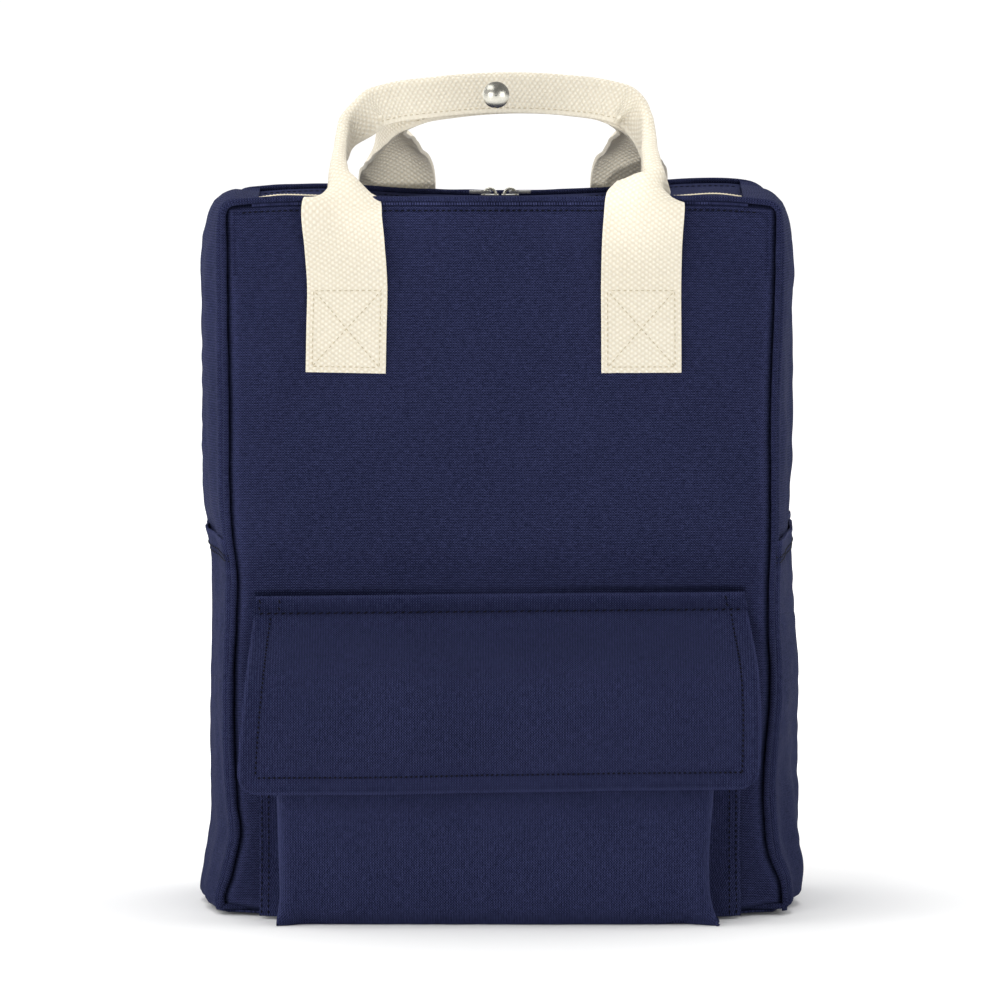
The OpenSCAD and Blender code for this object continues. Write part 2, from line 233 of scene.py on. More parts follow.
# Points dropped along one axis on a grid: the nearest four of its points, weighted by 1 / distance squared
def dropOn(grid, normals, points, lift=0.0, axis=1):
    flat, n = grid.reshape(-1, 3), normals.reshape(-1, 3)
    keep = [c for c in range(3) if c != axis]
    points = np.asarray(points, float)
    far = ((flat[None][:, :, keep] - points[:, None][:, :, keep]) ** 2).sum(2)
    near = np.argpartition(far, 4, axis=1)[:, :4]
    w = 1 / (np.take_along_axis(far, near, 1) + 0.05)
    w = (w / w.sum(1, keepdims=True))[..., None]
    place = points.copy()
    place[:, axis] = (flat[near] * w).sum(1)[:, axis]
    normal = unit((n[near] * w).sum(1))
    return place + lift * normal, normal


# Stitches: short capsules, each an ellipse turned round its length, set along lines on a surface
def stitches(name, lines, material, pitch=2.9, length=1.9, radius=0.36, slant=0.0):
    rings = np.array([[-1, 0.15], [-0.72, 0.8], [0, 1], [0.72, 0.8], [1, 0.15]])
    sides = 6
    turn = np.linspace(0, 2 * math.pi, sides, endpoint=False)
    verts, count = [], 0
    ring = np.arange(sides)
    unitFaces = np.array([[r * sides + k, r * sides + (k + 1) % sides,
                           (r + 1) * sides + (k + 1) % sides, (r + 1) * sides + k] for r in range(4) for k in ring])
    ends = np.array([ring[::-1], 4 * sides + ring])
    allFaces, allEnds = [], []
    for points, normals in lines:
        run = np.r_[0, np.cumsum(np.linalg.norm(np.diff(points, axis=0), axis=1))]
        at = np.arange(pitch / 2, run[-1], pitch)
        p = np.stack([np.interp(at, run, points[:, c]) for c in range(3)], 1)
        q = np.stack([np.interp(at + 0.5, run, points[:, c]) for c in range(3)], 1)
        n = unit(np.stack([np.interp(at, run, normals[:, c]) for c in range(3)], 1))
        t = unit(q - p + 1e-6 * np.random.default_rng(1).normal(size=p.shape))
        s = unit(np.cross(n, t))
        t = unit(t + slant * s)
        s = unit(np.cross(n, t))
        local = (rings[:, 0][None, :, None, None] * (length / 2) * t[:, None, None]
                 + (rings[:, 1] * radius)[None, :, None, None]
                 * (np.cos(turn)[None, None, :, None] * s[:, None, None]
                    - np.sin(turn)[None, None, :, None] * n[:, None, None]))
        block = (p[:, None, None] + local).reshape(-1, 3)
        starts = count + np.arange(len(p)) * 5 * sides
        allFaces.append((starts[:, None, None] + unitFaces[None]).reshape(-1, 4))
        allEnds.append((starts[:, None, None] + ends[None]).reshape(-1, sides))
        verts.append(block)
        count += len(block)
    quads = np.concatenate(allFaces)[:, ::-1].tolist()
    caps = np.concatenate(allEnds)[:, ::-1].tolist()
    return addMesh(name, np.concatenate(verts), quads + caps, material)


class Wire:
    # One socket, on which sums are written as Python expressions
    def __init__(self, kit, socket):
        self.kit, self.socket = kit, socket

    def math(self, kind, *others, clamp=False):
        values = {i: v for i, v in enumerate((self, *others))}
        return self.kit.add("ShaderNodeMath", {"operation": kind, "use_clamp": clamp}, values)

    def __add__(self, other): return self.math("ADD", other)
    def __radd__(self, other): return self.math("ADD", other)
    def __sub__(self, other): return self.math("SUBTRACT", other)
    def __rsub__(self, other): return self.kit.add("ShaderNodeMath", {"operation": "SUBTRACT"}, {0: other, 1: self})
    def __mul__(self, other): return self.math("MULTIPLY", other)
    def sine(self): return self.math("SINE")
    def size(self): return self.math("ABSOLUTE")
    def inside(self): return self.math("ADD", 0.0, clamp=True)


class Finish:
    # One material: a Principled shader and the nodes that feed it
    def __init__(self, name, roughness=0.8, sheen=0.0, sheenTint=(1, 1, 1), metallic=0.0, specular=0.5):
        self.material = bpy.data.materials.new(name)
        self.material.use_nodes = True
        self.tree = self.material.node_tree
        self.shader = self.tree.nodes["Principled BSDF"]
        self.put("Roughness", roughness)
        self.put("Metallic", metallic)
        self.put("Specular IOR Level", specular)
        if sheen:
            self.put("Sheen Weight", sheen)
            self.put("Sheen Roughness", 0.45)
            self.put("Sheen Tint", (*sheenTint, 1))

    def put(self, name, value, node=None):
        socket = (node or self.shader).inputs[name]
        if isinstance(value, Wire):
            self.tree.links.new(value.socket, socket)
        else:
            socket.default_value = value

    def add(self, kind, settings=None, inputs=None, out=0):
        node = self.tree.nodes.new(kind)
        for key, value in (settings or {}).items():
            if key == "stops":
                ramp = node.color_ramp.elements
                while len(ramp) < len(value):
                    ramp.new(0.5)
                for element, (place, colour) in zip(ramp, value):
                    element.position, element.color = place, colour
            else:
                setattr(node, key, value)
        for key, value in (inputs or {}).items():
            self.put(key, value, node)
        return Wire(self, node.outputs[out])

    def noise(self, vector, scale, detail=3.0, roughness=0.6, stretch=(1, 1, 1)):
        moved = self.add("ShaderNodeMapping", {}, {"Vector": vector, "Scale": stretch})
        return self.add("ShaderNodeTexNoise", {}, {"Vector": moved, "Scale": scale, "Detail": detail,
                                                   "Roughness": roughness})

    def mix(self, share, a, b):
        return self.add("ShaderNodeMix", {"data_type": "RGBA"}, {0: share, 6: a, 7: b}, out=2)

    def bump(self, height, distance, strength=1.0):
        self.put("Normal", self.add("ShaderNodeBump", {}, {"Height": height, "Distance": distance,
                                                           "Strength": strength}))

    def surfacePlace(self):
        uv = self.add("ShaderNodeUVMap", {"uv_map": "UVMap"})
        split = self.tree.nodes.new("ShaderNodeSeparateXYZ")
        self.tree.links.new(uv.socket, split.inputs[0])
        return uv, Wire(self, split.outputs[0]), Wire(self, split.outputs[1])


def rgb(r, g, b):
    return (r, g, b, 1)


canvasLook = {"thread": 1.3, "deep": rgb(0.0050, 0.0066, 0.0215), "raised": rgb(0.0325, 0.0375, 0.098),
              "slub": rgb(0.052, 0.060, 0.140), "bump": 0.00022}


# Plain weave: threads cross as sin(u) * sin(v); slubs are noise drawn out along one thread direction
def canvasFinish(name, slubsUp=False, paintedLightScale=1.0):
    look = canvasLook
    f = Finish(name, roughness=0.86, sheen=0.04, sheenTint=(0.35, 0.45, 1.0), specular=0.04)
    uv, u, v = f.surfacePlace()
    turns = 2 * math.pi / (look["thread"] * mm)
    wander = f.noise(uv, 120, detail=2.0) - 0.5
    weave = (u * turns + wander * 1.6).sine() * (v * turns + wander * 1.1).sine()
    long, short = (1.0, 0.3), (0.3, 1.0)
    sx, sy = long if slubsUp else short
    slubs = f.noise(uv, 950, detail=2.0, roughness=0.55, stretch=(sx, sy, 1))
    cross = f.noise(uv, 900, detail=2.0, roughness=0.55, stretch=(sy, sx, 1))
    grain = f.noise(uv, 1500, detail=1.5, roughness=0.6)
    cloud = f.noise(f.add("ShaderNodeTexCoord", out=3), 22, detail=4.0, roughness=0.62)
    rows = ((u if slubsUp else v) * turns + wander * 1.1).sine()
    height = weave * 0.95 + rows * 0.35 + (slubs - 0.5) * 1.5 + (cross - 0.5) * 0.7 + (grain - 0.5) * 1.6
    # painted light and shade per point, read from the mesh: darker in seam grooves, at stitch lines and under edges,
    # lighter on rolled edges
    wear = f.add("ShaderNodeAttribute", {"attribute_name": "wear"}, out=2)
    tone = (height * 0.66 + 0.44 + (cloud - 0.5) * 0.3 + wear).inside()
    # the scale brightens or darkens the colours: painted light or painted shade for a lit or shaded copy of the canvas
    ground = f.mix(tone, tuple(c * paintedLightScale for c in look["deep"][:3]) + (1,),
                   tuple(c * paintedLightScale for c in look["raised"][:3]) + (1,))
    shine = ((height - 0.75) * 0.9).inside()
    f.put("Base Color", f.mix(shine, ground, look["slub"]))
    f.put("Roughness", 0.92 - tone * 0.14)
    f.bump(height, look["bump"], 0.8)
    return f.material


webbingLook = {"across": 1.8, "along": 2.6, "deep": rgb(0.62, 0.545, 0.41), "raised": rgb(0.80, 0.755, 0.645),
               "bump": 0.00034}


# Heavy webbing: rows of long bumps, each row set half a step from the next, as sin(u) * sin(v)
def webbingFinish(name, width=40.0, across=None, along=None):
    look = webbingLook
    f = Finish(name, roughness=0.82, sheen=0.15, sheenTint=(1.0, 0.96, 0.88), specular=0.3)
    uv, u, v = f.surfacePlace()
    wander = f.noise(uv, 260, detail=2.0) - 0.5
    rows = (u * (math.pi / ((across or look["across"]) * mm)) + wander * 0.7).sine()
    steps = (v * (2 * math.pi / ((along or look["along"]) * mm)) + wander * 0.9).sine()
    bumps = rows * steps * 0.75 + rows.size() * 0.45
    fibre = f.noise(uv, 2600, detail=2.0, stretch=(1, 0.35, 1))
    edge = ((u.size() * (2 / (width * mm)) - 0.93) * 18).inside()
    height = bumps * (1 - edge * 0.7) + (fibre - 0.5) * 0.5 + edge * 0.35
    cloud = f.noise(f.add("ShaderNodeTexCoord", out=3), 30, detail=3.0)
    tone = (height * 0.55 + 0.38 + (cloud - 0.5) * 0.3).inside()
    f.put("Base Color", f.mix(tone, look["deep"], look["raised"]))
    f.put("Roughness", 0.9 - tone * 0.12)
    f.bump(height, look["bump"], 0.75)
    return f.material


def threadFinish(name, dark, bright, scale=5200):
    f = Finish(name, roughness=0.7, specular=0.08)
    place = f.add("ShaderNodeTexCoord", out=3)
    twist = f.noise(place, scale, detail=1.0)
    f.put("Base Color", f.mix(twist, dark, bright))
    f.put("Roughness", 0.5 + twist * 0.25)
    f.bump(twist, 0.0001, 0.6)
    return f.material


# Woven tape: fine ribs across it and a twill grain
def tapeFinish(name, deep, raised, rib=0.7):
    f = Finish(name, roughness=0.8, sheen=0.15)
    uv, u, v = f.surfacePlace()
    turns = 2 * math.pi / (rib * mm)
    twill = ((u + v) * turns).sine() * 0.5 + (v * turns * 1.4).sine() * 0.35
    fuzz = f.noise(uv, 1800, detail=2.0)
    height = twill + (fuzz - 0.5) * 0.9
    tone = (height * 0.5 + 0.5).inside()
    f.put("Base Color", f.mix(tone, deep, raised))
    f.bump(height, 0.00016, 0.7)
    return f.material


# Satin plate: faint brushing, small dull spots and slightly darker hollows
def metalFinish(name, dark, bright, roughness=0.3):
    f = Finish(name, roughness=roughness, metallic=1.0)
    place = f.add("ShaderNodeTexCoord", out=3)
    brushed = f.noise(place, 2400, detail=2.0, stretch=(1, 1, 0.12))
    spots = f.noise(place, 420, detail=3.0)
    f.put("Base Color", f.mix((spots * 0.7 + brushed * 0.3).inside(), dark, bright))
    f.put("Roughness", roughness - 0.06 + spots * 0.14 + brushed * 0.06)
    f.bump(brushed * 0.5 + spots * 0.5, 0.00004, 0.5)
    return f.material


# Moulded coil: smooth, with faint cloudiness
def coilFinish(name):
    f = Finish(name, roughness=0.42, specular=0.5)
    place = f.add("ShaderNodeTexCoord", out=3)
    cloud = f.noise(place, 500, detail=3.0)
    f.put("Base Color", f.mix(cloud, rgb(0.70, 0.60, 0.42), rgb(0.87, 0.80, 0.64)))
    f.put("Roughness", 0.36 + cloud * 0.16)
    f.bump(cloud, 0.00008, 0.5)
    return f.material


# Hook or loop pile: a deep, broken nap
def pileFinish(name):
    f = Finish(name, roughness=0.95, sheen=0.3, sheenTint=(0.5, 0.55, 0.8))
    place = f.add("ShaderNodeTexCoord", out=3)
    nap = f.noise(place, 1500, detail=4.0, roughness=0.75)
    cells = f.add("ShaderNodeTexVoronoi", {}, {"Vector": place, "Scale": 1100})
    height = nap + cells * 0.6
    f.put("Base Color", f.mix(nap, rgb(0.004, 0.005, 0.016), rgb(0.022, 0.027, 0.065)))
    f.bump(height, 0.0005, 0.9)
    return f.material


canvas = canvasFinish("canvas")
canvasUp = canvasFinish("canvasUpright", slubsUp=True)
# a slightly darker copy of the canvas for the seam welt: painted shade
canvasSeamPaintedShade = canvasFinish("seamCanvasPaintedShade", paintedLightScale=0.95)
# a lighter copy of the canvas: painted light, as if lit by light bounced up from the floor
canvasPocketPaintedLight = canvasFinish("pocketCanvasPaintedLight", slubsUp=True, paintedLightScale=1.18)
webbing = webbingFinish("webbing")
strapWeb = webbingFinish("strapWebbing", width=25.0, across=1.5, along=2.2)
# navy thread made near-black: partly the thread's own colour, partly painted shade of the pits the stitches sink into
navyThreadWithPaintedShade = threadFinish("navyThreadWithPaintedShade", rgb(0.0006, 0.0008, 0.0025), rgb(0.003, 0.0036, 0.010))
# ecru thread darker than the webbing: partly the thread's own colour, partly painted shade where the stitches sink in
ecruThreadWithPaintedShade = threadFinish("ecruThreadWithPaintedShade", rgb(0.34, 0.28, 0.17), rgb(0.66, 0.58, 0.43))
zipTape = tapeFinish("zipTape", rgb(0.66, 0.56, 0.36), rgb(0.90, 0.83, 0.66))
bindTape = tapeFinish("bindingTape", rgb(0.008, 0.010, 0.030), rgb(0.034, 0.04, 0.095), rib=1.1)
coil = coilFinish("zipCoil")
nickel = metalFinish("nickel", rgb(0.34, 0.33, 0.29), rgb(0.68, 0.66, 0.58), roughness=0.2)
pile = pileFinish("hookAndLoop")
print("materials made")


frontSeam = {
    "left": [(0, 136.8), (9, 137.4), (17, 134.7), (28, 132), (40, 129.6), (55, 131), (110, 132.7), (160, 131),
             (172, 130.9), (185, 132.7), (260, 134.7), (356, 135.8)],
    "right": [(0, 140.5), (9, 140.7), (17, 139.7), (28, 135), (50, 131.9), (120, 134.7), (147, 133.7),
              (190, 134.7), (260, 134.7), (310, 136.4), (356, 137)],
    "bottom": 2.2, "corner": 4.5,
    "top": [(-142, 353.4), (-120, 355.2), (-60, 355.8), (0, 355.9), (60, 355.9), (120, 355.4), (142, 353.2)],
}
backSeam = {
    "left": [(0, 138.5), (20, 138.8), (180, 138.6), (356, 138.4)],
    "right": [(0, 138.5), (20, 139), (180, 138.8), (356, 138.4)],
    "bottom": 2.2, "corner": 11.0,
    "top": [(-142, 352.5), (-118, 355.2), (-95, 356.2), (-40, 353.6), (0, 352.8), (55, 354.6), (95, 358.8),
            (122, 358.4), (142, 353.5)],
}


bodyHigh, bodyHalf = 356, 139.0


# A panel's flat outline: half widths from its seams, and square corners drawn in to quarter discs:
# (a, b) goes to (a * sqrt(1 - b*b/2), b * sqrt(1 - a*a/2))
def panelPlace(seam, across, up):
    topLine = lambda x: through(seam["top"], x)
    half = lambda z: np.where(across < 0, through(seam["left"], z), through(seam["right"], z))
    roughZ = seam["bottom"] + (bodyHigh - seam["bottom"]) * up
    x = across * half(roughZ)
    z = seam["bottom"] + (topLine(x) - seam["bottom"]) * up
    r, wide = seam["corner"], half(z)
    a = np.clip((np.abs(x) - (wide - r)) / r, 0, 1)
    b = np.clip((z - (topLine(x) - r)) / r, 0, 1)
    newX = np.where(a > 0, (wide - r + r * a * np.sqrt(1 - b * b / 2)) * np.sign(x), x)
    newZ = np.where(b > 0, topLine(x) - r + r * b * np.sqrt(1 - a * a / 2), z)
    # the lower corners are lifted off the floor
    newZ = newZ + 3.0 * ease((np.abs(newX) - 108) / 32) ** 1.5 * np.exp(-newZ / 9)
    gap = np.minimum(np.minimum((1 - np.abs(across)) * half(z), (1 - up) * (bodyHigh - 2)), up * (bodyHigh - 2))
    return newX, newZ, gap


# The seam of one panel as a path of x and z, from the bottom of one side up and over the top
def seamPath(seam, side, topX, count=150):
    straight = np.linspace(0, 1, count)
    x1, z1, _ = panelPlace(seam, np.full(count, float(side)), straight)
    across = np.linspace(1, topX / bodyHalf, 60) * side
    x2, z2, _ = panelPlace(seam, across, np.ones(60))
    return np.c_[np.r_[x1, x2[1:]], np.r_[z1, z2[1:]]]


panelLook = {"seamY": 59.4, "rise": 3.6, "lip": 2.0, "groove": 2.2, "grooveW": 2.0, "ruffle": 0.75, "cloth": 1.5}


# Front or back panel: a shallow cushion, 1 - across^4, that dips to its seam
def panelGrid(seam, facing, across, up, seed, rise=None):
    look = panelLook
    x, z, gap = panelPlace(seam, across, up)
    rise = look["rise"] if rise is None else rise
    swell = rise * (1 - np.abs(across) ** 4) * (1 - np.abs(2 * up - 1) ** 6)
    depth = look["seamY"] + look["lip"] + swell - (look["groove"] + look["lip"]) * hump(gap, 0, look["grooveW"])
    fade = ease(gap / 14)
    depth = depth + look["ruffle"] * unevenness(x, z, 70, seed) * fade
    depth = depth + 0.16 * unevenness(x, z, 17, seed + 1) * fade
    return x, z, depth * facing, gap


# How far the front leans out near the floor: a bell in height that fades towards the side seams
def lowPush(x, z):
    return 11.0 * hump(z, 0, 18) * ease((bodyHalf - np.abs(x)) / 32)


flapTop = [(-121, 160.4), (0, 161.6), (121, 162.6)]
up, across = crossed(closeAtEnds(0, 1, 210, 0.7), closeAtEnds(-1, 1, 150, 0.8))
x, z, y, gap = panelGrid(frontSeam, -1, across, up, 11)
# soft puckers beside the flap's upper corners and where the handles pull, then long soft folds.
# each: x, z, turn, depth, length, width, how far from the seam it fades
creases = [(-125, 172, 0.9, 0.9, 16, 3.2, 6), (-127, 158, 0.5, 0.7, 16, 3.2, 6), (126, 150, -0.9, 0.9, 16, 3.2, 6),
           (124, 131, -0.6, 0.8, 16, 3.2, 6), (-118, 182, 1.1, 0.5, 16, 3.2, 6), (117, 172, -1.0, 0.5, 16, 3.2, 6),
           (-96, 205, 0.75, 1.3, 42, 9, 12), (-62, 232, 0.9, 0.9, 50, 12, 12), (100, 222, -0.85, 1.4, 46, 10, 12),
           (64, 196, -0.55, 1.0, 52, 12, 12), (20, 186, 0.1, 0.8, 60, 9, 12), (-112, 262, 1.3, 0.9, 46, 8, 12),
           (118, 282, -1.35, 0.9, 46, 8, 12), (0, 318, 0.0, 0.6, 60, 14, 12)]
for px, pz, turn, deep, long, wide, fade in creases:
    dx, dz = x - px, z - pz
    along, over = dx * math.cos(turn) + dz * math.sin(turn), dz * math.cos(turn) - dx * math.sin(turn)
    y = y - deep * np.exp(-((along / long) ** 2) - ((over / wide) ** 2)) * ease(gap / fade)
# cloth pushed forward along the floor, and drawn in over the flap's upper edge
y = y - lowPush(x, z)
y = y + 1.3 * hump(z, through(flapTop, x) + 1.6, 1.3) * ease((122.5 - np.abs(x)) / 2)
# topstitch under the upper edge holds the cloth down
y = y + 0.55 * hump(gap, 4.6, 1.3) * (up > 0.9)
frontGrid = np.stack([x, y, z], -1)
frontNormals = gridNormals(frontGrid, (0, 0, 180))
# painted shade in the seam groove and at the topstitch, a painted highlight on the rolled edge beside the seam, a
# painted shadow line just above the flap's upper edge and faint painted shade above it
wear = -0.5 * hump(gap, 0, 1.7) + 0.22 * hump(gap, 4, 1.8) - 0.4 * hump(gap, 4.4, 0.9) * (up > 0.9)
wear = wear - 0.75 * hump(z, through(flapTop, x) + 0.9, 0.8) * ease((122.5 - np.abs(x)) / 2) - 0.12 * hump(z, 172, 12)
frontPanel = gridPiece("frontPanel", frontGrid, canvas, thick=panelLook["cloth"], wear=wear)
setShown(frontPanel, "bag", "canvas", "front_panel")


backUp, backAcross = crossed(closeAtEnds(0, 1, 150, 0.7), closeAtEnds(-1, 1, 140, 0.7))
x, z, y, gap = panelGrid(backSeam, 1, backAcross, backUp, 23, rise=3.0)
# padded field with a stitched border and two stitched channels
padEdge = np.maximum(np.abs(x) - 112, np.maximum(z - 292, 24 - z))
channels = np.minimum(np.abs(z - 108), np.abs(z - 204))
puff = 3.4 * ease(-padEdge / 12) * (1 - 0.85 * hump(channels, 0, 6) * (padEdge < 0))
y = y + puff - 0.7 * hump(padEdge, 0, 2.2)
backGrid = np.stack([x, y, z], -1)
backNormals = gridNormals(backGrid, (0, 0, 180))
# painted shade in the seam groove and along the pad's stitched border, a painted highlight on the rolled edge beside
# the seam
backPaintedLightAndShade = -0.5 * hump(gap, 0, 1.7) + 0.22 * hump(gap, 4, 1.8) - 0.35 * hump(padEdge, 0, 1.2)
backPanel = gridPiece("backPanel", backGrid, canvas, thick=panelLook["cloth"], wear=backPaintedLightAndShade)
setShown(backPanel, "bag", "canvas", "back_panel")


# Side panels, carried from the floor over the top corner to the zip's end
sideLook = {"cloth": 1.5, "topX": 122.6, "ridge": 1.6,
            -1: [(0, 7.0), (12, 8.2), (60, 8.0), (110, 7.6), (150, 8.6), (182, 9.6), (200, 11.8), (230, 13.0),
                 (300, 12.8), (335, 11.6), (348, 8.2), (356, 4.4), (364, 1.6), (380, 0.6), (400, 0.4)],
            1: [(0, 5.5), (12, 7.4), (60, 9.2), (130, 9.2), (182, 8.2), (200, 8.6), (240, 9.4), (300, 9.6),
                (335, 8.4), (348, 5.4), (356, 3.4), (364, 1.6), (380, 0.6), (400, 0.4)]}


# Runs between the two seams' paths; swells outward as sin(pi t)^0.5, with a rolled ridge at each seam
def sideGrid(side, extra=None, high=None, acrossCount=70, seed=31):
    f2, b2 = seamPath(frontSeam, side, sideLook["topX"]), seamPath(backSeam, side, sideLook["topX"])
    steps = np.linspace(0, 1, 240)
    even = lambda p: np.stack([np.interp(steps, np.linspace(0, 1, len(p)), p[:, c]) for c in (0, 1)], 1)
    f2, b2 = even(f2), even(b2)
    run = np.r_[0, np.cumsum(np.linalg.norm(np.diff(f2, axis=0), axis=1))]
    if high is not None:
        keep = np.linspace(0, 1, 130)
        take = lambda p, top: np.stack([np.interp(keep * top, run, p[:, c]) for c in (0, 1)], 1)
        f2, b2, run = take(f2, high[0]), take(b2, high[1]), keep * high[0]
    t = closeAtEnds(0, 1, acrossCount, 0.85)[None, :]
    s = run[:, None]
    x = f2[:, :1] * (1 - t) + b2[:, :1] * t
    z = f2[:, 1:] * (1 - t) + b2[:, 1:] * t
    y = -panelLook["seamY"] + 2 * panelLook["seamY"] * t
    tangent = unit(np.gradient(f2 + b2, axis=0))
    outX, outZ = np.abs(tangent[:, 1]) * side, np.abs(tangent[:, 0])
    bulge = through(sideLook[side], run)[:, None] * np.sin(math.pi * np.clip(t, 0, 1)) ** 0.5
    ends = np.minimum(t, 1 - t) * 2 * panelLook["seamY"]
    roll = sideLook["ridge"] * hump(ends, 3.2, 2.6)
    folds = 0.9 * unevenness(s * 0.45, y * 1.5 + 40, 52, seed + side) * ease(ends / 16) * ease((345 - s) / 40)
    folds = folds + 0.25 * unevenness(s, y, 16, seed + 7 + side) * ease(ends / 10)
    push = bulge + roll + folds + (0 if extra is None else extra(s, t, ends))
    # the lower edge comes down to the floor again
    z = z - 0.7 * (z[:1] - 0.8) * hump(s, 0, 10)
    y = y - (np.sign(0.5 - t) * 1.5 * hump(ends, 2.4, 2.2))
    return np.stack([x + push * outX[:, None], y + 0 * s, z + push * outZ[:, None]], -1)


# Side pockets: a second layer up to a stitched hem that stands a little away
pocketLook = {"cloth": 1.4, "high": {-1: (184.5, 192), 1: (184.0, 191)}, "stand": 1.5}
for side, word in ((-1, "left"), (1, "right")):
    grid = sideGrid(side)
    grid[..., 2] = np.maximum(grid[..., 2], 1.6)
    grid[..., 0] -= side * 3.0 * ease((20 - grid[..., 2]) / 20) * np.sin(math.pi * np.linspace(0, 1, 70))
    panel = gridPiece("sidePanel_" + word, grid, canvas, thick=sideLook["cloth"])
    setShown(panel, "bag", "canvas", "side_panel_" + word)

    floorRound = lambda s: (-1.0 if side < 0 else -4.5) * ease((4 - s) / 4)
    lowSwell = {-1: [(0, 3.2), (14, 2.0), (60, 1.0), (130, 0), (184, 0.3)],
                1: [(0, 3.6), (60, 3.0), (140, 1.4), (184, 0.3)]}[side]

    def standOff(s, t, ends, swell=lowSwell):
        top = pocketLook["high"][side][0]
        gape = 0.1 * ease((s - top + 22) / 22) * np.sin(math.pi * t)
        hem = 0.4 * hump(s - top, -1.5, 2.2) - 0.4 * hump(s - top, -11, 1.4)
        return (pocketLook["stand"] * ease(ends / 5) + through(swell, s[:, 0])[:, None] * np.sin(math.pi * t) + gape
                + hem * ease(ends / 4) + floorRound(s) * ease(ends / 5))

    grid = sideGrid(side, standOff, high=pocketLook["high"][side], seed=57)
    grid[..., 2] = np.maximum(grid[..., 2], 0.3)
    normals = gridNormals(grid, (0, 0, 90))
    fromTop = np.linspace(184, 0, len(grid))[:, None]
    # painted highlight on the hem's upper edge and painted shade along its stitch line
    wear = 0.35 * hump(fromTop, 0.5, 1.4) - 0.3 * hump(fromTop, 9.6, 1.8)
    pocket = gridPiece("sidePocket_" + word, grid, canvasUp, thick=pocketLook["cloth"], rim=0.5, wear=wear)
    setShown(pocket, "bag", "canvas", "side_pocket_" + word)
    b = np.linspace(0.02, 0.98, 90)
    lines = [onGrid(grid, normals, np.full(90, 1 - inset / 184), b, 0.12) for inset in (11.0, 8.2)]
    setShown(stitches("sidePocketHemStitches_" + word, lines, navyThreadWithPaintedShade), "bag", "canvas")

print("panels made")


weltLook = {"radius": 1.5, "out": 1.3, "y": 59.9}


# A round profile carried round the panel's seam, set a little outside it
def weltPiece(name, seam, facing, node):
    left, right = seamPath(seam, -1, 0.0), seamPath(seam, 1, 0.0)
    loop = np.r_[left, right[::-1][1:]]
    run = np.r_[0, np.cumsum(np.linalg.norm(np.diff(loop, axis=0), axis=1))]
    even = np.linspace(0, run[-1], 420)
    loop = np.stack([np.interp(even, run, loop[:, c]) for c in (0, 1)], 1)
    tangent = unit(np.gradient(loop, axis=0))
    out = np.stack([-tangent[:, 1], tangent[:, 0]], 1)
    middle = loop + out * weltLook["out"]
    waver = 0.25 * unevenness(even, even * 0, 28, 71)
    path = np.c_[middle[:, 0], facing * (weltLook["y"] + waver), middle[:, 1]]
    bottom = np.linspace(path[-1], path[0], 80)[1:-1]
    path = np.r_[path, bottom, path[:1]]
    radius = weltLook["radius"] * (1 + 0.07 * unevenness(np.arange(len(path)) * 1.7, np.zeros(len(path)), 19, 72))
    path[:, 2] = np.maximum(path[:, 2], weltLook["radius"] + 0.3)
    setShown(tubePiece(name, path, radius, canvasSeamPaintedShade, sides=12), "bag", "seam_canvas", node)


weltPiece("frontWelt", frontSeam, -1, "front_seam_welt")
weltPiece("backWelt", backSeam, 1, "back_seam_welt")

xs = np.linspace(-128, 128, 200)
line = dropOn(frontGrid, frontNormals, stitchPlaces(xs, through(frontSeam["top"], xs) - 4.4), 0.15)
setShown(stitches("frontTopStitches", [line], navyThreadWithPaintedShade, slant=0.12), "bag", "canvas")
ring = outline([(-112, 24), (-112, 292), (112, 292), (112, 24)], 60)
rows = [np.c_[np.linspace(-111, 111, 80), np.full(80, h)] for h in (108.0, 204.0)]
lines = [dropOn(backGrid, backNormals, stitchPlaces(p[:, 0], p[:, 1]), 0.15) for p in (ring, *rows)]
setShown(stitches("backPanelStitches", lines, navyThreadWithPaintedShade), "bag", "canvas")

# bottom: a flat grid between the seams that follows their widths
t, a = crossed(np.linspace(0, 1, 50), np.linspace(-1, 1, 90))
corner = 1 - 0.03 * (np.abs(2 * t - 1) ** 8)
bottomHalf = bodyHalf + 0.5
bottomY = -59.6 + 119.2 * t - lowPush(a * bottomHalf, 0) * (1 - t) ** 3
bottomZ = 1.4 + 0.9 * (1 - a**8) * np.sin(math.pi * t) * 0.4
bottomGrid = np.stack([a * bottomHalf * corner, bottomY, bottomZ], -1)
bottomPanel = gridPiece("bottomPanel", bottomGrid, canvas, awayFrom=(0, 0, 100), thick=1.2)
setShown(bottomPanel, "bag", "canvas", "bottom_panel")

# lining over the foam in the back, a low cushion on the inside
t, a = crossed(closeAtEnds(0, 1, 70), closeAtEnds(-1, 1, 70))
lx, lz = a * 118, 12 + 278 * t
body = ease((1 - np.abs(a)) * 118 / 14) * ease(np.minimum(t, 1 - t) * 278 / 14)
ly = 58.0 - 11.0 * body - 0.5 * unevenness(lx, lz, 60, 83) * body
padCover = gridPiece("backPadLining", np.stack([lx, ly, lz], -1), canvas, awayFrom=(0, 200, 150), thick=1.0)
setShown(padCover, "bag", "foam", "back_pad")


zipLook = {"strip": 54, "half": 122.8, "teethEnd": 121.5, "tab": 121.4, "clear": 5.2, "tape": 9.6, "step": 1.75,
           "height": [(-123, 354.2), (-112, 355.7), (-95, 355.6), (-60, 352.6), (-20, 351.4), (20, 351.4),
                      (55, 352.6), (90, 355.4), (110, 356.4), (123, 354.8)]}


def zipHeight(x):
    return through(zipLook["height"], x)


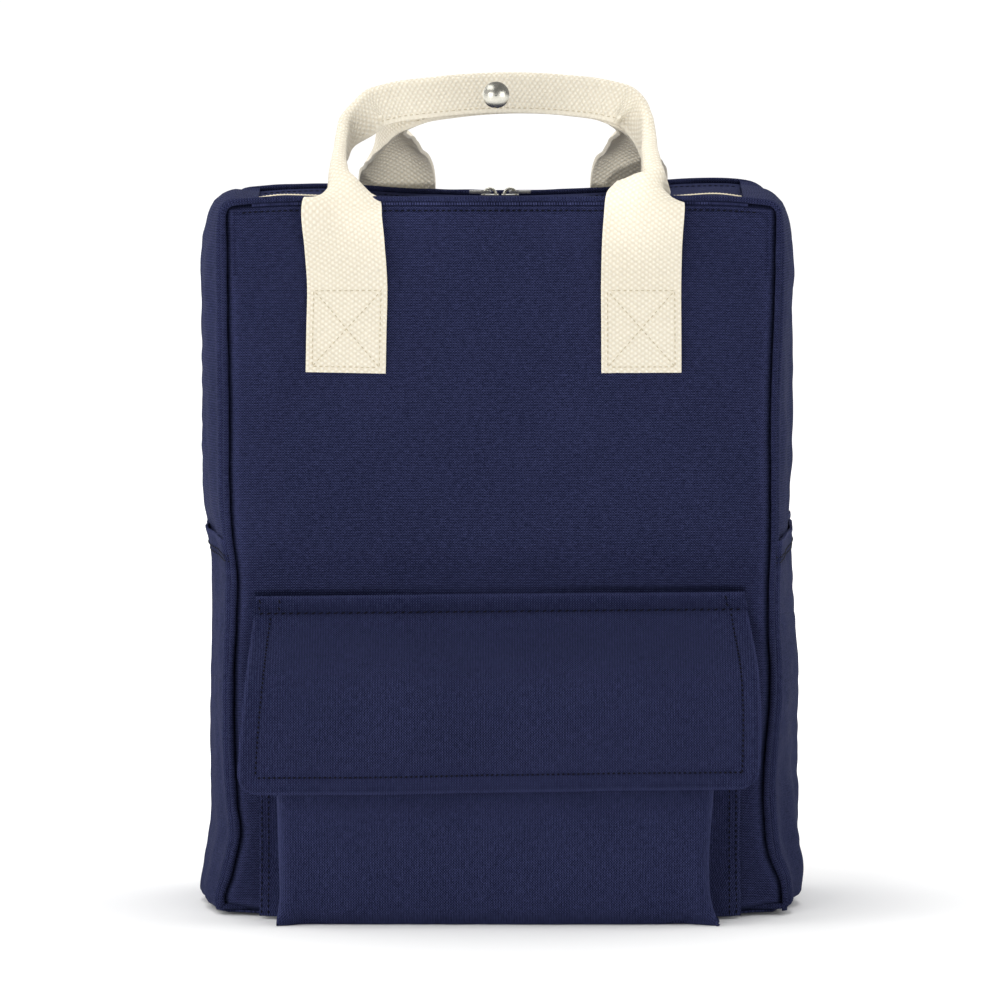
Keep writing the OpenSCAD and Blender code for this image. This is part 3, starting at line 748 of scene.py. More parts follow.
for facing, word in ((-1, "front"), (1, "back")):
    seam = frontSeam if facing < 0 else backSeam
    xs = np.linspace(-zipLook["half"], zipLook["half"], 160)
    t = np.linspace(0, 1, 46) ** 0.9
    x, tt = np.meshgrid(xs, t)
    edgeZ = through(seam["top"], x)
    clear = zipLook["clear"] + 2.6 * ease((np.abs(x) - 84) / 22)
    y = facing * ((panelLook["seamY"] + 1.6) * (1 - tt) + clear * tt)
    strip = zipLook["strip"]
    over = 1.1 * hump(tt * strip, 4.0, 4.2)
    sag = 1.3 * np.sin(math.pi * tt) * (1 if facing < 0 else 0.6)
    z = edgeZ - 0.8 + over - sag + (zipHeight(x) - edgeZ + 0.8) * ease(tt)
    z = z + 0.45 * unevenness(x, y, 46, 91 + facing) * np.sin(math.pi * tt)
    z = z - 0.4 * hump(strip * (1 - tt), 3.4, 1.1) + 0.5 * hump(strip * (1 - tt), 0, 1.6)
    stripGrid = np.stack([x, y, z], -1)
    normals = gridNormals(stripGrid, (0, 0, 100))
    lip = "front_lip" if facing < 0 else "back_lip"
    hinge, far = (0, facing * 0.0585, 0.356), (0, facing * 0.046, 0.356)
    piece = gridPiece("topStrip_" + word, stripGrid, canvas, awayFrom=(0, 0, 100), thick=1.4)
    setBlended(piece, lip, "canvas", hinge, far, f"top_{word}_strip")
    lines = [onGrid(stripGrid, normals, np.full(150, share), np.linspace(0.01, 0.99, 150), 0.1)
             for share in (1 - 3.4 / strip, 7.5 / strip)]
    setBlended(stitches("topStripStitches_" + word, lines, navyThreadWithPaintedShade), lip, "canvas", hinge, far)

    # tape under the strip's edge, and the coil: small teeth leaning over the middle
    x, w = np.meshgrid(np.linspace(-zipLook["half"], zipLook["half"], 130), np.linspace(0, 1, 10))
    tape = np.stack([x, facing * (1.0 + zipLook["tape"] * w), zipHeight(x) - 1.1 - 0.5 * w], -1)
    tapePiece = gridPiece("zipTape_" + word, tape, zipTape, awayFrom=(0, 0, 100), thick=0.7)
    setShown(tapePiece, lip, "zip_tape", "zip_tape_" + word)
    shift = 0 if facing < 0 else zipLook["step"] / 2
    tx = np.arange(-zipLook["teethEnd"] + shift, zipLook["teethEnd"], zipLook["step"])
    tx = tx[(np.abs(np.abs(tx) - 5.1) > 4.6)]
    teethLines = []
    for k in tx:
        p = np.array([[k, facing * 2.9, 0.0], [k, facing * -0.35, 0.0]])
        p[:, 2] = zipHeight(np.array([k, k])) + 0.15
        teethLines.append((p, np.array([[0, 0, 1.0], [0, 0, 1.0]])))
    teeth = stitches("zipTeeth_" + word, teethLines, coil, pitch=3.2, length=3.5, radius=0.66)
    setShown(teeth, lip, "zip_teeth", "zip_teeth_" + word)

# cloth tabs over the zip's ends
for side, word in ((-1, "left"), (1, "right")):
    t, a = crossed(np.linspace(0, 1, 24), np.linspace(-1, 1, 30))
    x = zipLook["tab"] + 11.5 * t
    top = zipHeight(side * np.minimum(x, 122.9)) + 0.8
    drop = 0.05 * (x - zipLook["tab"]) ** 1.8
    z = top + 1.3 * (1 - a**4) - drop * 0.35
    grid = np.stack([side * x, 9.5 * a * (1 - 0.1 * t), z], -1)
    tab = gridPiece("zipEndTab_" + word, grid, canvas, awayFrom=(0, 0, 100), thick=1.4, rim=0.4)
    setShown(tab, "bag", "canvas", "zip_end_tab_" + word)

for name in ("zip_slider_left", "zip_slider_right", "zip_pull_left", "zip_pull_right", "snap_cap", "snap_back_cap",
             "snap_socket", "snap_stud", "tri_glide_left", "tri_glide_right"):
    data = nodes[name].data
    data.materials.clear()
    data.materials.append(nickel)
print("top made")


# Front pocket: one sheet from flange over gusset and face to the other flange
# "out" and "back" run along the outline from the face's edge (0) to the flange's edge (1)
frontPocketLook = {"high": 120.0, "cloth": 1.5, "flange": 119.6, "deep": 34.2, "faceEdge": 0.8,
                   "left": [(0, 108.5), (10, 108.8), (30, 109.4), (64, 110.2), (120, 110.0)],
                   "right": [(0, 106.5), (10, 104.5), (30, 103.5), (64, 105.5), (120, 108)],
                   "out": [(0, 0), (0.12, 3.0), (0.24, 5.2), (0.34, 5.6), (0.62, 3.0), (0.70, 2.8), (0.76, 4.4),
                           (0.84, 7), (1, 14)],
                   "back": [(0, 0), (0.12, 0.9), (0.24, 4.2), (0.34, 8.5), (0.62, 27.5), (0.70, 31.4), (0.76, 33.2),
                            (0.84, 33.8), (1, 34.2)]}


zLevels = closeAtEnds(0, 1, 100, 0.6) * frontPocketLook["high"]
faceEdge, deepest = frontPocketLook["faceEdge"], frontPocketLook["deep"]
around = np.r_[np.linspace(-1, -faceEdge, 46), np.linspace(-faceEdge, faceEdge, 120)[1:-1],
               np.linspace(faceEdge, 1, 46)]
z, q = crossed(zLevels, around)
faceHalf = np.where(q < 0, through(frontPocketLook["left"], z), through(frontPocketLook["right"], z))
# beyond the face's edge the outline turns the corner, runs back along the gusset and out along the flange
k = np.clip((np.abs(q) - faceEdge) / 0.2, 0, 1)
cx, depth = through(frontPocketLook["out"], k), through(frontPocketLook["back"], k)
inner = faceHalf - 5.6
outer = np.where(k > 0.7, (frontPocketLook["flange"] - inner - 2.8) / (14 - 2.8) * (cx - 2.8) + 2.8, cx)
x = np.sign(q) * np.where(k > 0, inner + outer, np.abs(q) / faceEdge * inner)
faceY = -97.2 - 1.8 * (1 - (np.abs(x) / 112) ** 4) - 0.6 * unevenness(x, z, 90, 101) - 0.25 * unevenness(x, z, 24, 102)
for px, wide, deep in ((-104, 3.4, 0.9), (97, 3.6, 1.1), (-90, 6, -0.5), (88, 7, -0.5)):
    faceY = faceY - deep * hump(x + 0.03 * (z - 40), px, wide) * ease((80 - z) / 60)
faceY = faceY + 9.0 * ease((z - 84) / 36) + 1.5 * ease((z - 60) / 40)
flangeY = -65.6 - 0.8 * (1 - (x / 140) ** 4) - lowPush(x, z)
y = faceY * (1 - depth / deepest) + flangeY * (depth / deepest)
low = ease((9 - z) / 9)
y = y + 3.6 * low**2 * (depth < 8)
for cornerX in (-110.5, 109.0):
    pinch = np.exp(-(((x - cornerX) / 8) ** 2) - ((z / 9) ** 2)) * (depth < 26)
    y = y - 9.5 * pinch
    x = x + np.sign(cornerX) * 2.0 * pinch
z = np.maximum(z, np.where(np.abs(q) > 0.93, 3.0, 0.2))
pocketGrid = np.stack([x, y, z], -1)
pocketNormals = gridNormals(pocketGrid, (0, -70, 60))
# painted shade at the flange folds and along the hem stitches, a painted highlight where the face turns back into the
# gusset
wear = -0.3 * hump(np.abs(q), 0.91, 0.02) - 0.25 * hump(z, 113, 1.2) + 0.3 * hump(k, 0.28, 0.12)
pocketFront = gridPiece("frontPocket", pocketGrid, canvasPocketPaintedLight, awayFrom=(0, -70, 60), thick=frontPocketLook["cloth"],
                        wear=wear)
setShown(pocketFront, "bag", "canvas", "pocket_front", "pocket_gusset")

t, a = crossed(np.linspace(0, 1, 24), np.linspace(-1, 1, 80))
grid = np.stack([a * (108.5 - 2 * (1 - t) ** 2), -64.5 + (-30.2) * t, 0.9 + 0 * t], -1)
pocketFloor = gridPiece("frontPocketFloor", grid, canvasUp, awayFrom=(0, -80, 60), thick=0.7)
setShown(pocketFloor, "bag", "canvas")

lines = []
for side, places in ((-1, (118.4, 115.0)), (1, (117.4, 114.0))):
    for px in places:
        zs = np.linspace(2, 118, 90)
        lines.append(dropOn(pocketGrid, pocketNormals, stitchPlaces(np.full(90, side * px), zs), 0.12))
setShown(stitches("frontPocketStitches", lines, navyThreadWithPaintedShade), "bag", "canvas")
hemLine = [onGrid(pocketGrid, pocketNormals, np.full(120, 1 - 7 / 120), np.linspace(0.13, 0.87, 120), 0.12)]
setShown(stitches("frontPocketHemStitches", hemLine, navyThreadWithPaintedShade), "bag", "canvas")

# loop tape on the face
px, pz = np.meshgrid(np.linspace(-40, 40, 40), np.linspace(76, 98, 14))
p, _ = dropOn(pocketGrid, pocketNormals, stitchPlaces(px.ravel(), pz.ravel()), 1.3)
loopTape = gridPiece("loopTape", p.reshape(14, 40, 3), pile, awayFrom=(0, -70, 90), thick=1.2, rim=0.3)
setShown(loopTape, "bag", "hook_and_loop", "loop_tape")


# Flap: a side profile carried across, its edges cut to the tapered front shape
flapLook = {"cloth": 2.6, "long": 113.5, "band": 9.2, "inset": 8.8, "round": 11.0,
            "low": [(-130, 65.6), (-60, 66.0), (0, 67.0), (60, 67.8), (130, 68.6)],
            "left": [(60, 129.8), (78, 129.3), (116, 126.2), (140, 123.6), (152, 122), (162, 121.2)],
            "right": [(60, 127.6), (78, 128.2), (108, 128.6), (130, 127.2), (146, 124.2), (162, 121.4)],
            "profile": [(0, -68.0, 0), (4, -68.4, 4), (9.2, -67.0, 9.2), (13, -68.4, 12.8), (19, -71.8, 17.6),
                        (28, -77.6, 22.8), (38, -85.6, 28.8), (48, -93.2, 35.4), (58, -99.4, 43.2), (70, -103.4, 54.4),
                        (84, -104.8, 68.3), (100, -105.2, 84.3), (113.5, -105.6, 97.8)]}
flapLong, bandAt = flapLook["long"], flapLook["band"]
s, a = crossed(np.r_[np.linspace(0, 14, 18), np.linspace(14, 108, 64)[1:], np.linspace(108, flapLong, 8)[1:]],
               closeAtEnds(-1, 1, 150, 0.6))
prof = through(flapLook["profile"], s)
topZ, lowZ = through(flapTop, a * 121), through(flapLook["low"], a * 128)
z = topZ - prof[..., 1] * (topZ - lowZ) / flapLook["profile"][-1][2]
half = np.where(a < 0, through(flapLook["left"], z), through(flapLook["right"], z))
x = a * half
# rounded lower corners: the outline is drawn in as a quarter disc
r = flapLook["round"]
ca, cb = np.clip((np.abs(x) - (half - r)) / r, 0, 1), np.clip((lowZ + r - z) / r, 0, 1)
x = np.where(ca > 0, np.sign(x) * (half - r + r * ca * np.sqrt(1 - cb * cb / 2)), x)
z = np.where(cb > 0, lowZ + r - r * cb * np.sqrt(1 - ca * ca / 2), z)
edgeGap = np.minimum((1 - np.abs(a)) * half, np.maximum(flapLong - s, 0))
away = ease((s - 10) / 30)
y = prof[..., 0] + 5.0 * away * ease((np.abs(a) - 0.80) / 0.2) * ease((60 - s) / 40)
y = y - 0.9 * away * unevenness(x, z, 85, 121) - 0.22 * unevenness(x, z, 22, 122) * ease((s - 6) / 10)
y = y + 0.5 * hump(edgeGap, flapLook["inset"], 1.4) - 0.9 * hump(edgeGap, 3.2, 2.6) * away
y = y + 0.8 * hump(s, bandAt, 1.2) + 0.2 * hump(s, 0, 0.9)
flapGrid = np.stack([x, y, z], -1)
flapNormals = gridNormals(flapGrid, (0, -60, 110))
onFlap = ease((s - 10) / 4)
# painted highlight on the rolled rim and on the band's upper edge, painted shade beside the rim and at the band's
# stitch line; the band is also darker overall
wear = (0.3 * hump(edgeGap, 0.5, 1.0) - 0.12 * hump(edgeGap, 2.6, 1.0)) * onFlap
wear = wear - 0.08 * hump(s, bandAt, 0.9) + 0.22 * hump(s, 0.5, 0.8) - 0.14 * hump(s, 5, 4)
flap = gridPiece("pocketFlap", flapGrid, canvasUp, awayFrom=(0, -60, 110), thick=flapLook["cloth"], rim=0.9, wear=wear)
flapStart, flapEnd = (0, -0.0655, 0.1535), (0, -0.0685, 0.1455)
setBlended(flap, "flap", "canvas", flapStart, flapEnd, "pocket_flap", "flap_band")

inset = flapLook["inset"]
rowsAt = lambda sv: np.interp(sv, s[:, 0], np.linspace(0, 1, len(s)))
colsAt = lambda av: np.interp(av, a[0], np.linspace(0, 1, a.shape[1]))
sideFrac = 1 - inset / 127
down = np.linspace(11, flapLong - inset, 90)
lines = [onGrid(flapGrid, flapNormals, rowsAt(down), colsAt(np.full(90, sign * sideFrac)), 0.15) for sign in (-1, 1)]
acrossLow = np.linspace(-sideFrac + 0.004, sideFrac - 0.004, 160)
lines.append(onGrid(flapGrid, flapNormals, rowsAt(np.full(160, flapLong - inset)), colsAt(acrossLow), 0.15))
bandLines = [onGrid(flapGrid, flapNormals, rowsAt(np.full(160, bandAt)), colsAt(np.linspace(-0.985, 0.985, 160)), 0.15)]
for px in (-0.98, -0.9, 0.92):
    bandLines.append(onGrid(flapGrid, flapNormals, rowsAt(np.linspace(1, bandAt, 12)), colsAt(np.full(12, px)), 0.15))
flapStitches = stitches("flapStitches", lines, navyThreadWithPaintedShade, pitch=2.5, length=1.4, radius=0.52, slant=0.2)
setBlended(flapStitches, "flap", "canvas", flapStart, flapEnd)
bandStitches = stitches("flapBandStitches", bandLines, navyThreadWithPaintedShade, pitch=3.7, length=2.3, radius=0.45, slant=0.35)
setShown(bandStitches, "bag", "canvas")

# hook tape inside the flap
hx, hs = np.meshgrid(np.linspace(-40, 40, 40), np.linspace(76, 98, 14))
p, _ = dropOn(flapGrid, flapNormals, stitchPlaces(hx.ravel(), hs.ravel()), -flapLook["cloth"] + 0.1)
hookTape = gridPiece("hookTape", p.reshape(14, 40, 3), pile, awayFrom=(0, -300, 90), thick=-1.1)
setShown(hookTape, "flap", "hook_and_loop", "hook_tape")
print("front pocket made")


handleLook = {"width": 39.6, "thick": 1.9, "rows": 330, "cols": 35, "near": 0.08, "far": 0.92}
# each stop: x, y, z, the way the fold faces (3 numbers), how far it is folded (degrees), half the fold's width
frontStops = [
    (-76.4, -65.6, 271.4, 0, -1, 0, 0, 14), (-76.0, -66.2, 292, 0, -1, 0, 0, 14), (-75.6, -66.4, 316, 0, -1, 0, 1, 14),
    (-77.0, -66.9, 336, 0, -1, 0, 1, 14), (-78.3, -67.2, 352, 0, -1, 0, 6, 13), (-77.8, -66.0, 359, 0, -1, .1, 30, 12),
    (-78.4, -61.4, 366, 0, -1, .1, 64, 10), (-79.6, -57, 370, 0, -1, .1, 78, 7.5),
    (-80, -48.4, 375.2, 0, -1, .1, 87, 5.4), (-79.6, -36, 381.4, 0, -1, .1, 90, 3.8),
    (-78.8, -22, 389, 0, -.9, .4, 90, 3.4), (-77.4, -12.8, 396.4, -.14, -.5, .8, 90, 3.0),
    (-72.4, -7.4, 403.2, -.5, -.15, .85, 90, 2.6), (-67.0, -5.2, 408, -.28, -.02, 1, 90, 2.2),
    (-58, -4.2, 411, -.06, 0, 1, 90, 1.9), (-35, -3.7, 414.4, 0, 0, 1, 90, 1.8), (0, -3.6, 416.8, 0, 0, 1, 90, 1.8),
    (32, -3.6, 415.7, 0, 0, 1, 90, 1.8), (57, -4.2, 412.4, .06, 0, 1, 90, 1.9),
    (66, -5.2, 409.6, .28, -.02, 1, 90, 2.2), (71.6, -7.6, 404.6, .5, -.15, .85, 90, 2.6),
    (74.0, -13, 397.2, .3, -.5, .8, 90, 3.2), (74.4, -22, 389, 0, -.9, .4, 90, 4.2),
    (74.4, -34.8, 382, 0, -1, .1, 89, 5.2), (75.4, -48.6, 375, 0, -1, .1, 86, 6.4),
    (75.8, -57, 370, 0, -1, .1, 78, 7.6), (73.6, -61.6, 365.8, 0, -1, .1, 52, 11),
    (72.0, -66.0, 359, 0, -1, .1, 22, 12.5), (71.4, -67.2, 352, 0, -1, 0, 5, 13), (70.3, -66.9, 336, 0, -1, 0, 1, 14),
    (69.8, -66.4, 316, 0, -1, 0, 1, 14), (69.9, -66.2, 292, 0, -1, 0, 0, 14), (70.0, -65.6, 271.4, 0, -1, 0, 0, 14)]
rearStops = [
    (-53, 65.3, 302.5, 0, 1, 0, 0, 14), (-53, 65.5, 322, 0, 1, 0, 0, 14), (-53, 65.6, 340, 0, 1, 0, 2, 14),
    (-52.6, 66.8, 352, 0, 1, 0, 4, 13), (-52.6, 65.6, 363, 0, 1, .1, 16, 12), (-53.6, 61, 373.5, 0, 1, .1, 34, 11),
    (-55.6, 52, 382.5, 0, 1, .1, 52, 9), (-57.6, 40.5, 390, -.1, 1, .1, 66, 7.5),
    (-58.6, 28, 396.4, -.3, .9, .35, 80, 5.5), (-57.8, 17, 401.4, -.4, .6, .6, 88, 3.8),
    (-55.6, 9.4, 404.8, -.4, .2, .85, 90, 2.6), (-50.6, 5.2, 407.4, -.28, .02, 1, 90, 2.2),
    (-43, 4.2, 410.4, -.06, 0, 1, 90, 1.9), (-24, 3.7, 413.8, 0, 0, 1, 90, 1.8), (4, 3.6, 416.0, 0, 0, 1, 90, 1.8),
    (35, 3.6, 414.8, 0, 0, 1, 90, 1.8), (56, 4.2, 411.2, .06, 0, 1, 90, 1.9), (63.4, 5.2, 408, .28, .02, 1, 90, 2.2),
    (67.6, 9.4, 404.8, .4, .2, .85, 90, 2.6), (69.6, 17, 401, .4, .6, .6, 88, 3.8),
    (70.2, 28, 395.8, .3, .9, .35, 80, 5.5), (69.4, 40.5, 389.4, .1, 1, .1, 66, 7.5), (68.0, 52, 382, 0, 1, .1, 50, 9),
    (66.6, 61, 373, 0, 1, .1, 32, 11), (65.8, 65.6, 362.6, 0, 1, .1, 15, 12), (65.6, 66.8, 351.6, 0, 1, 0, 3, 13),
    (65.2, 65.6, 340, 0, 1, 0, 2, 14), (65, 65.5, 322, 0, 1, 0, 0, 14), (65, 65.3, 302.5, 0, 1, 0, 0, 14)]


# Webbing: across it, an arc of half width h turned by the fold angle f, then two straight arms:
# s = h/f sin(f w/h), t = h/f (1 - cos(f w/h)) inside the arc; the arms go on at the angle f
def webbingGrid(stops, count, seed):
    path = pathThrough(stops, count)
    centre, faceWay = path[:, :3], path[:, 3:6]
    fold, h = np.radians(np.maximum(path[:, 6], 0.05))[:, None], path[:, 7][:, None]
    along = unit(np.gradient(centre, axis=0))
    faceWay = unit(faceWay - along * np.sum(faceWay * along, 1, keepdims=True))
    side = np.cross(along, faceWay)
    w = np.linspace(-1, 1, handleLook["cols"])[None, :] * handleLook["width"] / 2
    bent = np.clip(np.abs(w), 0, h)
    arm = np.maximum(np.abs(w) - h, 0)
    s = np.sign(w) * (h / fold * np.sin(fold * bent / h) + arm * np.cos(fold))
    t = h / fold * (1 - np.cos(fold * bent / h)) + arm * np.sin(fold)
    run = np.linspace(0, 1, count)[:, None] * 420
    loose = ease((centre[:, 2:] - 318) / 30) * ease((404 - centre[:, 2:]) / 12)
    wave = 0.5 * unevenness(run, w, 34, seed) * loose
    return centre[:, None] + s[..., None] * side[:, None] - (t + wave)[..., None] * faceWay[:, None]


def outwardNormals(grid, reference):
    n = unit(np.cross(np.gradient(grid, axis=0), np.gradient(grid, axis=1)))
    return n if n[0, n.shape[1] // 2] @ np.asarray(reference, float) > 0 else -n


for word, stops, facing in (("front", frontStops, -1), ("rear", rearStops, 1)):
    grid = webbingGrid(stops, handleLook["rows"], 131 + facing)
    normals = outwardNormals(grid, (0, facing, 0))
    grid = grid + normals * handleLook["thick"] / 2
    obj = gridPiece("handle_" + word, grid, webbing, thick=handleLook["thick"], rim=0.45, straight=True)
    # faces outward at the sewn end
    data = obj.data
    first = data.polygons[len(data.polygons) // 700]
    if first.normal.y * facing < 0:
        data.flip_normals()
    body = word + "_handle"
    hingeZ = 0.3144 if facing < 0 else 0.3424
    start, end = (0, facing * 0.066, hingeZ - 0.001), (0, facing * 0.066, hingeZ + 0.010)
    setBlended(obj, body, "webbing", start, end,
               f"{word}_handle_webbing", f"handle_end_{word}_left", f"handle_end_{word}_right")
    halfWay, middle = handleLook["rows"] // 2, handleLook["cols"] // 2

    def rowAt(height, right):
        first = halfWay if right else 0
        near = np.argmin(np.abs(grid[first:first + halfWay, middle, 2] - height))
        return (first + int(near)) / (handleLook["rows"] - 1)

    # a box with a cross in it at each sewn end
    lines = []
    ends = (274.2, 311.6) if facing < 0 else (305, 339)
    for right in (False, True):
        low, high = rowAt(ends[0], right), rowAt(ends[1], right)
        a, b, c, d = [(row, col) for col in (handleLook["near"], handleLook["far"]) for row in (low, high)]
        for (r0, c0), (r1, c1) in ((a, b), (c, d), (a, c), (b, d), (a, d), (c, b)):
            lines.append(onGrid(grid, normals, np.linspace(r0, r1, 30), np.linspace(c0, c1, 30), 0.02))
    boxStitches = stitches(f"handleBoxStitches_{word}", lines, ecruThreadWithPaintedShade, pitch=2.9, length=1.7, radius=0.26)
    setShown(boxStitches, "bag", "webbing")
    gripRows = np.linspace(0.36, 0.64, 130)
    gripLines = [onGrid(grid, normals, gripRows, np.full(130, c), 0.02) for c in (0.94, 0.06)]
    gripStitches = stitches(f"gripStitches_{word}", gripLines, ecruThreadWithPaintedShade, pitch=3.0, length=1.7, radius=0.26)
    setShown(gripStitches, body, "webbing")
print("handles made")


# Back: yoke, padded straps, their webbing and tabs
t, a = crossed(closeAtEnds(0, 1, 40), closeAtEnds(-1, 1, 110))
yx, yz = 3 + 98.5 * a * (1 - 0.012 * (2 * t - 1) ** 8), 300 + 41.6 * t
lift = np.minimum((1 - np.abs(a)) * 98, np.minimum(t, 1 - t) * 41.6)
yokeInset = 4.2
yokeY = 67.6 + 1.2 * ease(lift / 4) - 0.5 * hump(lift, yokeInset, 1.1) + 0.35 * unevenness(yx, yz, 48, 141)
yokeGrid = np.stack([yx, yokeY, yz], -1)
yokeNormals = gridNormals(yokeGrid, (0, 0, 320))
yoke = gridPiece("strapYoke", yokeGrid, canvas, awayFrom=(0, 0, 320), thick=2.2, rim=0.6)
setShown(yoke, "bag", "canvas", "strap_yoke")
left, low, right, high = -95 + yokeInset, 300 + yokeInset, 101 - yokeInset, 341.6 - yokeInset
ring = outline([(left, low), (left, high), (right, high), (right, low)], 70)
lines = [dropOn(yokeGrid, yokeNormals, stitchPlaces(ring[:, 0], ring[:, 1]), 0.15)]
setShown(stitches("yokeStitches", lines, navyThreadWithPaintedShade), "bag", "canvas")

# each stop: x, y, z, width, thickness
padStops = [(50.5, 68.6, 304, 47, 1.6), (51.5, 69.4, 298, 48, 5.2), (52.5, 74.5, 289, 50, 8.6), (54, 86, 276, 54, 9.2),
            (58, 106, 246, 57, 9.2), (64, 116.5, 212, 57, 9.2), (71, 119, 176, 55, 9.0), (79, 115.6, 140, 49, 8.6),
            (85, 108, 114, 42, 7.8), (88, 103, 100, 38, 3.0)]
webStart, webFoot = np.array([89.0, 101, 98]), np.array([116.0, 68, 24])


# A strap pad: a closed lens carried along its path, with a stitched groove: thickness (1 - |w|^3.4)^0.6
def padGrid(side):
    path = pathThrough(padStops, 90)
    centre = path[:, :3] * np.array([side, 1, 1])
    along = unit(np.gradient(centre, axis=0))
    across = unit(np.array([1.0, 0, 0]) - along * along[:, :1])
    out = np.cross(along, across)
    out = out * np.sign(out[:, 1:2] + 1e-9)
    turn = np.linspace(0, 2 * math.pi, 72, endpoint=False)[None]
    w = np.sign(np.cos(turn)) * np.abs(np.cos(turn)) ** 0.8
    thick = path[:, 4:5] / 2
    body = thick * (1 - np.abs(w) ** 3.4) ** 0.6
    seam = 0.55 * hump((1 - np.abs(w)) * path[:, 3:4] / 2, 5.5, 1.6)
    h = np.sign(np.sin(turn)) * np.maximum(body - seam, 0.35 * np.abs(np.sin(turn)))
    grid = (centre[:, None] + w[..., None] * path[:, 3][:, None, None] / 2 * across[:, None]
            + h[..., None] * out[:, None])
    return grid, centre, across, out, path


for side, word in ((-1, "left"), (1, "right")):
    grid, centre, acrossWay, out, path = padGrid(side)
    pad = gridPiece("strapPad_" + word, grid, canvas, wrap=True, capEnds=True)
    body = "strap_" + word
    start, end = (side * 0.052, 0.0685, 0.303), (side * 0.052, 0.072, 0.290)
    setBlended(pad, body, "canvas", start, end, "strap_pad_" + word)
    # binding round the edge and a stitched line inside it
    rows = np.linspace(3, 86, 84).astype(int)
    edgeA, edgeB = grid[rows, 0], grid[rows, 36]
    lines = []
    for sgn in (-1, 1):
        for face in (-1, 1):
            wv = sgn * (1 - 11.0 / path[rows, 3])
            h = path[rows, 4] / 2 * (1 - np.abs(wv) ** 3.4) ** 0.6 - 0.5
            p = (centre[rows] + (wv * path[rows, 3] / 2)[:, None] * acrossWay[rows]
                 + (face * (h + 0.25))[:, None] * out[rows])
            lines.append((p, face * out[rows]))
    padStitch = stitches("strapPadStitches_" + word, lines, navyThreadWithPaintedShade)
    setBlended(padStitch, body, "canvas", start, end)
    for edge, tag in ((edgeA, "Outer"), (edgeB, "Inner")):
        bind = tubePiece(f"strapPadBinding{tag}_{word}", edge[2:], 1.5, bindTape, sides=10, upright=(1, 0, 0))
        setBlended(bind, body, "canvas", start, end)

    # lower webbing, flat, from the pad's end to the tab
    mirror = np.array([side, 1, 1])
    run = webFoot - webStart
    ends = np.linspace(webStart - run * 0.16, webFoot + run * 0.02, 60) * mirror
    t = unit(run) * mirror
    acrossW = unit(np.array([1.0, 0, 0]) - t * t[0])
    faceW = np.cross(t, acrossW)
    faceW = faceW * np.sign(faceW[1])
    w = np.linspace(-12.4, 12.4, 15)
    webGrid = ends[:, None] + w[None, :, None] * acrossW + 0.75 * faceW
    strap = gridPiece("strapWebbing_" + word, webGrid, strapWeb, awayFrom=(0, 0, 60), thick=1.5, rim=0.35)
    setShown(strap, body, "webbing", "strap_webbing_" + word)

    # tab in the lower corner, a stitched triangle of canvas
    t2, a2 = crossed(np.linspace(0, 1, 26), np.linspace(0, 1, 26))
    px = (100.0 + 32.0 * a2) * (1 - t2) + (122.0 + 10.0 * a2) * t2
    pz = 12 + 34 * t2
    py = 66.6 + 0.8 * np.sin(math.pi * a2) ** 0.5 * np.sin(math.pi * t2) ** 0.5
    tabGrid = np.stack([side * px, py, pz], -1)
    tab = gridPiece("strapTab_" + word, tabGrid, canvas, awayFrom=(0, 0, 30), thick=2.2, rim=0.5)
    setShown(tab, "bag", "canvas", "strap_tab_" + word)
    ring = outline([(side * 104, 15), (side * 129.5, 15), (side * 129.5, 43), (side * 124, 43)], 30)
    line = (np.c_[ring[:, 0], np.full(len(ring), 67.5), ring[:, 1]], np.tile([0, 1.0, 0], (len(ring), 1)))
    setShown(stitches("strapTabStitches_" + word, [line], navyThreadWithPaintedShade), "bag", "canvas")
print("straps made")


stageLook = {"glow": 0.42, "nearGlow": (0.2, 0.5), "sky": 1.06, "dimSky": 0.22, "floorHalf": 6,
             "field": 0.5, "lens": 300, "tilt": 5.0, "aim": (0.0, -0.030, 0.205)}
floorSteps = np.linspace(-stageLook["floorHalf"], stageLook["floorHalf"], 13)
wide, deep = np.meshgrid(floorSteps, floorSteps)
sweep = np.stack([wide, deep, 0 * wide], -1) / mm
floorFinish = Finish("floor", roughness=0.9, specular=0.1)
mottle = floorFinish.noise(floorFinish.add("ShaderNodeTexCoord", out=3), 3, detail=2.0)
floorFinish.put("Base Color", floorFinish.mix(mottle, rgb(0.92, 0.92, 0.92), rgb(0.94, 0.94, 0.94)))
# the floor glows, little near the bag and fully from half a metre beyond: painted shade round the bag, painted light on
# the floor further off
distance = floorFinish.add("ShaderNodeVectorMath", {"operation": "LENGTH"},
                           {0: floorFinish.add("ShaderNodeTexCoord", out=3)}, out=1)
farAway = ((distance - stageLook["nearGlow"][0]) * (1 / stageLook["nearGlow"][1])).inside()
floorFinish.put("Emission Color", floorFinish.mix(farAway, rgb(0.05, 0.05, 0.05), rgb(1, 1, 1)))
floorFinish.put("Emission Strength", stageLook["glow"])
floor = gridPiece("floor", sweep, floorFinish.material, awayFrom=(0, 0, -5000))

world = bpy.data.worlds.new("studio")
bpy.context.scene.world = world
world.use_nodes = True
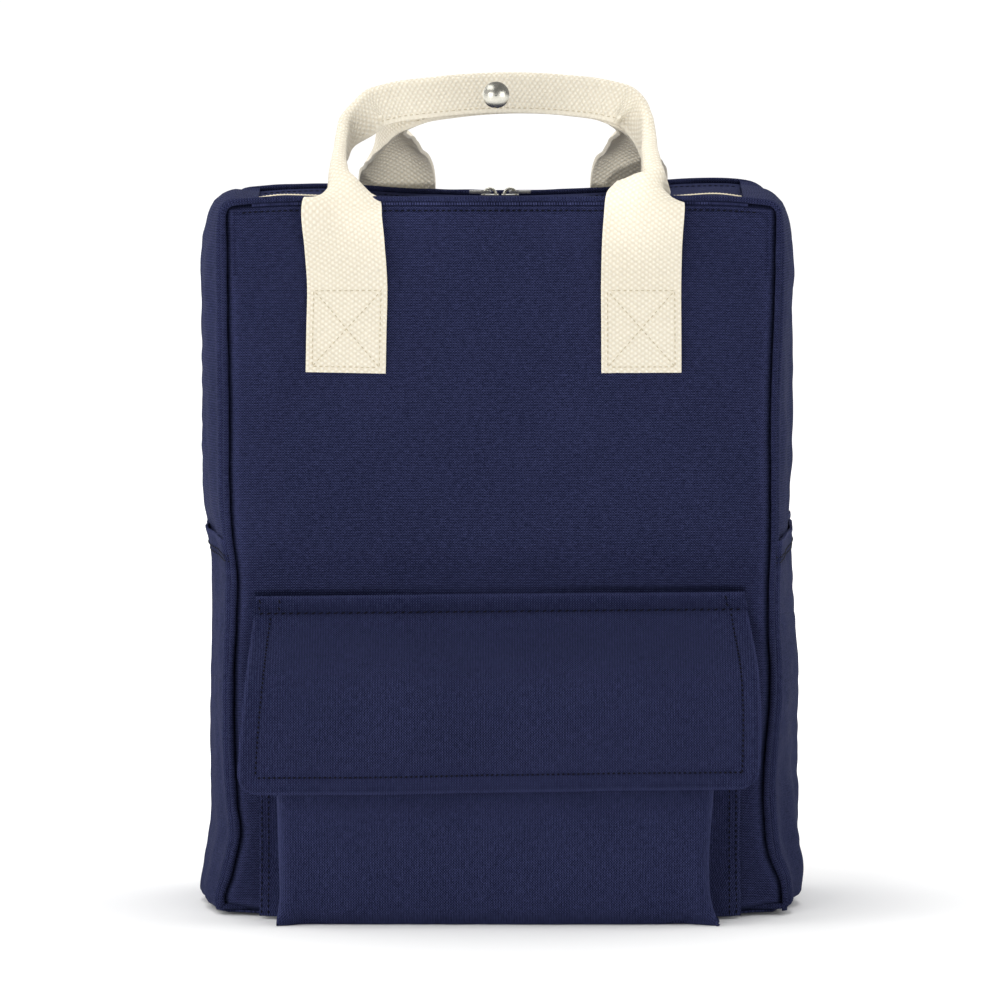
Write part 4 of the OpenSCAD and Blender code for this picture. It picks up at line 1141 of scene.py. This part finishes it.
# a white room that is dimmer on the camera's side
tree = world.node_tree
place = tree.nodes.new("ShaderNodeTexCoord")
facing = tree.nodes.new("ShaderNodeVectorMath")
facing.operation = "DOT_PRODUCT"
facing.inputs[1].default_value = (0, -1, 0)
dim = tree.nodes.new("ShaderNodeMapRange")
dim.interpolation_type = "SMOOTHSTEP"
for key, value in (("From Min", -0.1), ("From Max", 0.75), ("To Min", stageLook["sky"]),
                   ("To Max", stageLook["dimSky"])):
    dim.inputs[key].default_value = value
tree.nodes["Background"].inputs[0].default_value = (1, 1, 1, 1)
tree.links.new(place.outputs["Generated"], facing.inputs[0])
tree.links.new(facing.outputs["Value"], dim.inputs["Value"])
tree.links.new(dim.outputs["Result"], tree.nodes["Background"].inputs[1])


def softbox(name, place, aim, size, power):
    data = bpy.data.lights.new(name, "AREA")
    data.shape = "RECTANGLE"
    data.size, data.size_y = size
    data.energy = power
    obj = bpy.data.objects.new(name, data)
    bpy.context.scene.collection.objects.link(obj)
    obj.location = place
    obj.rotation_euler = (Vector(aim) - Vector(place)).to_track_quat("-Z", "Y").to_euler()


softbox("frontLight", (-0.8, -1.5, 1.35), (0, 0, 0.2), (0.9, 0.6), 4.5)
softbox("lowLight", (-0.75, -1.8, 0.42), (0, 0, 0.25), (0.6, 0.5), 4.5)
softbox("leftLight", (-1.5, -0.6, 0.7), (0, 0, 0.2), (0.8, 1.2), 8)
softbox("rightLight", (0.85, -1.75, 0.45), (0, 0, 0.25), (0.7, 0.6), 4.5)
# two narrow soft beams that reach the rear handle's legs between the grips and the bag's top
for side, across in (("left", -0.047), ("right", 0.058)):
    beam = bpy.data.lights.new("handleLight_" + side, "SPOT")
    beam.energy, beam.shadow_soft_size, beam.spot_size, beam.spot_blend = 150, 0.03, math.radians(1.7), 0.9
    beamObject = bpy.data.objects.new("handleLight_" + side, beam)
    bpy.context.scene.collection.objects.link(beamObject)
    beamObject.location = (across * 0.6, -2.2, 0.37)
    target = Vector((across, 0.05, 0.373))
    beamObject.rotation_euler = (target - beamObject.location).to_track_quat("-Z", "Y").to_euler()
softbox("topLight", (0, 0.1, 1.8), (0, 0, 0.2), (1.4, 1.4), 14)

camData = bpy.data.cameras.new("camera")
camData.lens = stageLook["lens"]
camData.sensor_width = 36
camera = bpy.data.objects.new("camera", camData)
bpy.context.scene.collection.objects.link(camera)
tilt = math.radians(stageLook["tilt"])
far = stageLook["field"] * stageLook["lens"] / 36
aim = Vector(stageLook["aim"])
camera.location = aim + far * Vector((0, -math.cos(tilt), math.sin(tilt)))
camera.rotation_euler = (aim - camera.location).to_track_quat("-Z", "Y").to_euler()
bpy.context.scene.camera = camera
bpy.context.scene.view_settings.view_transform = "Standard"

print("stage made")
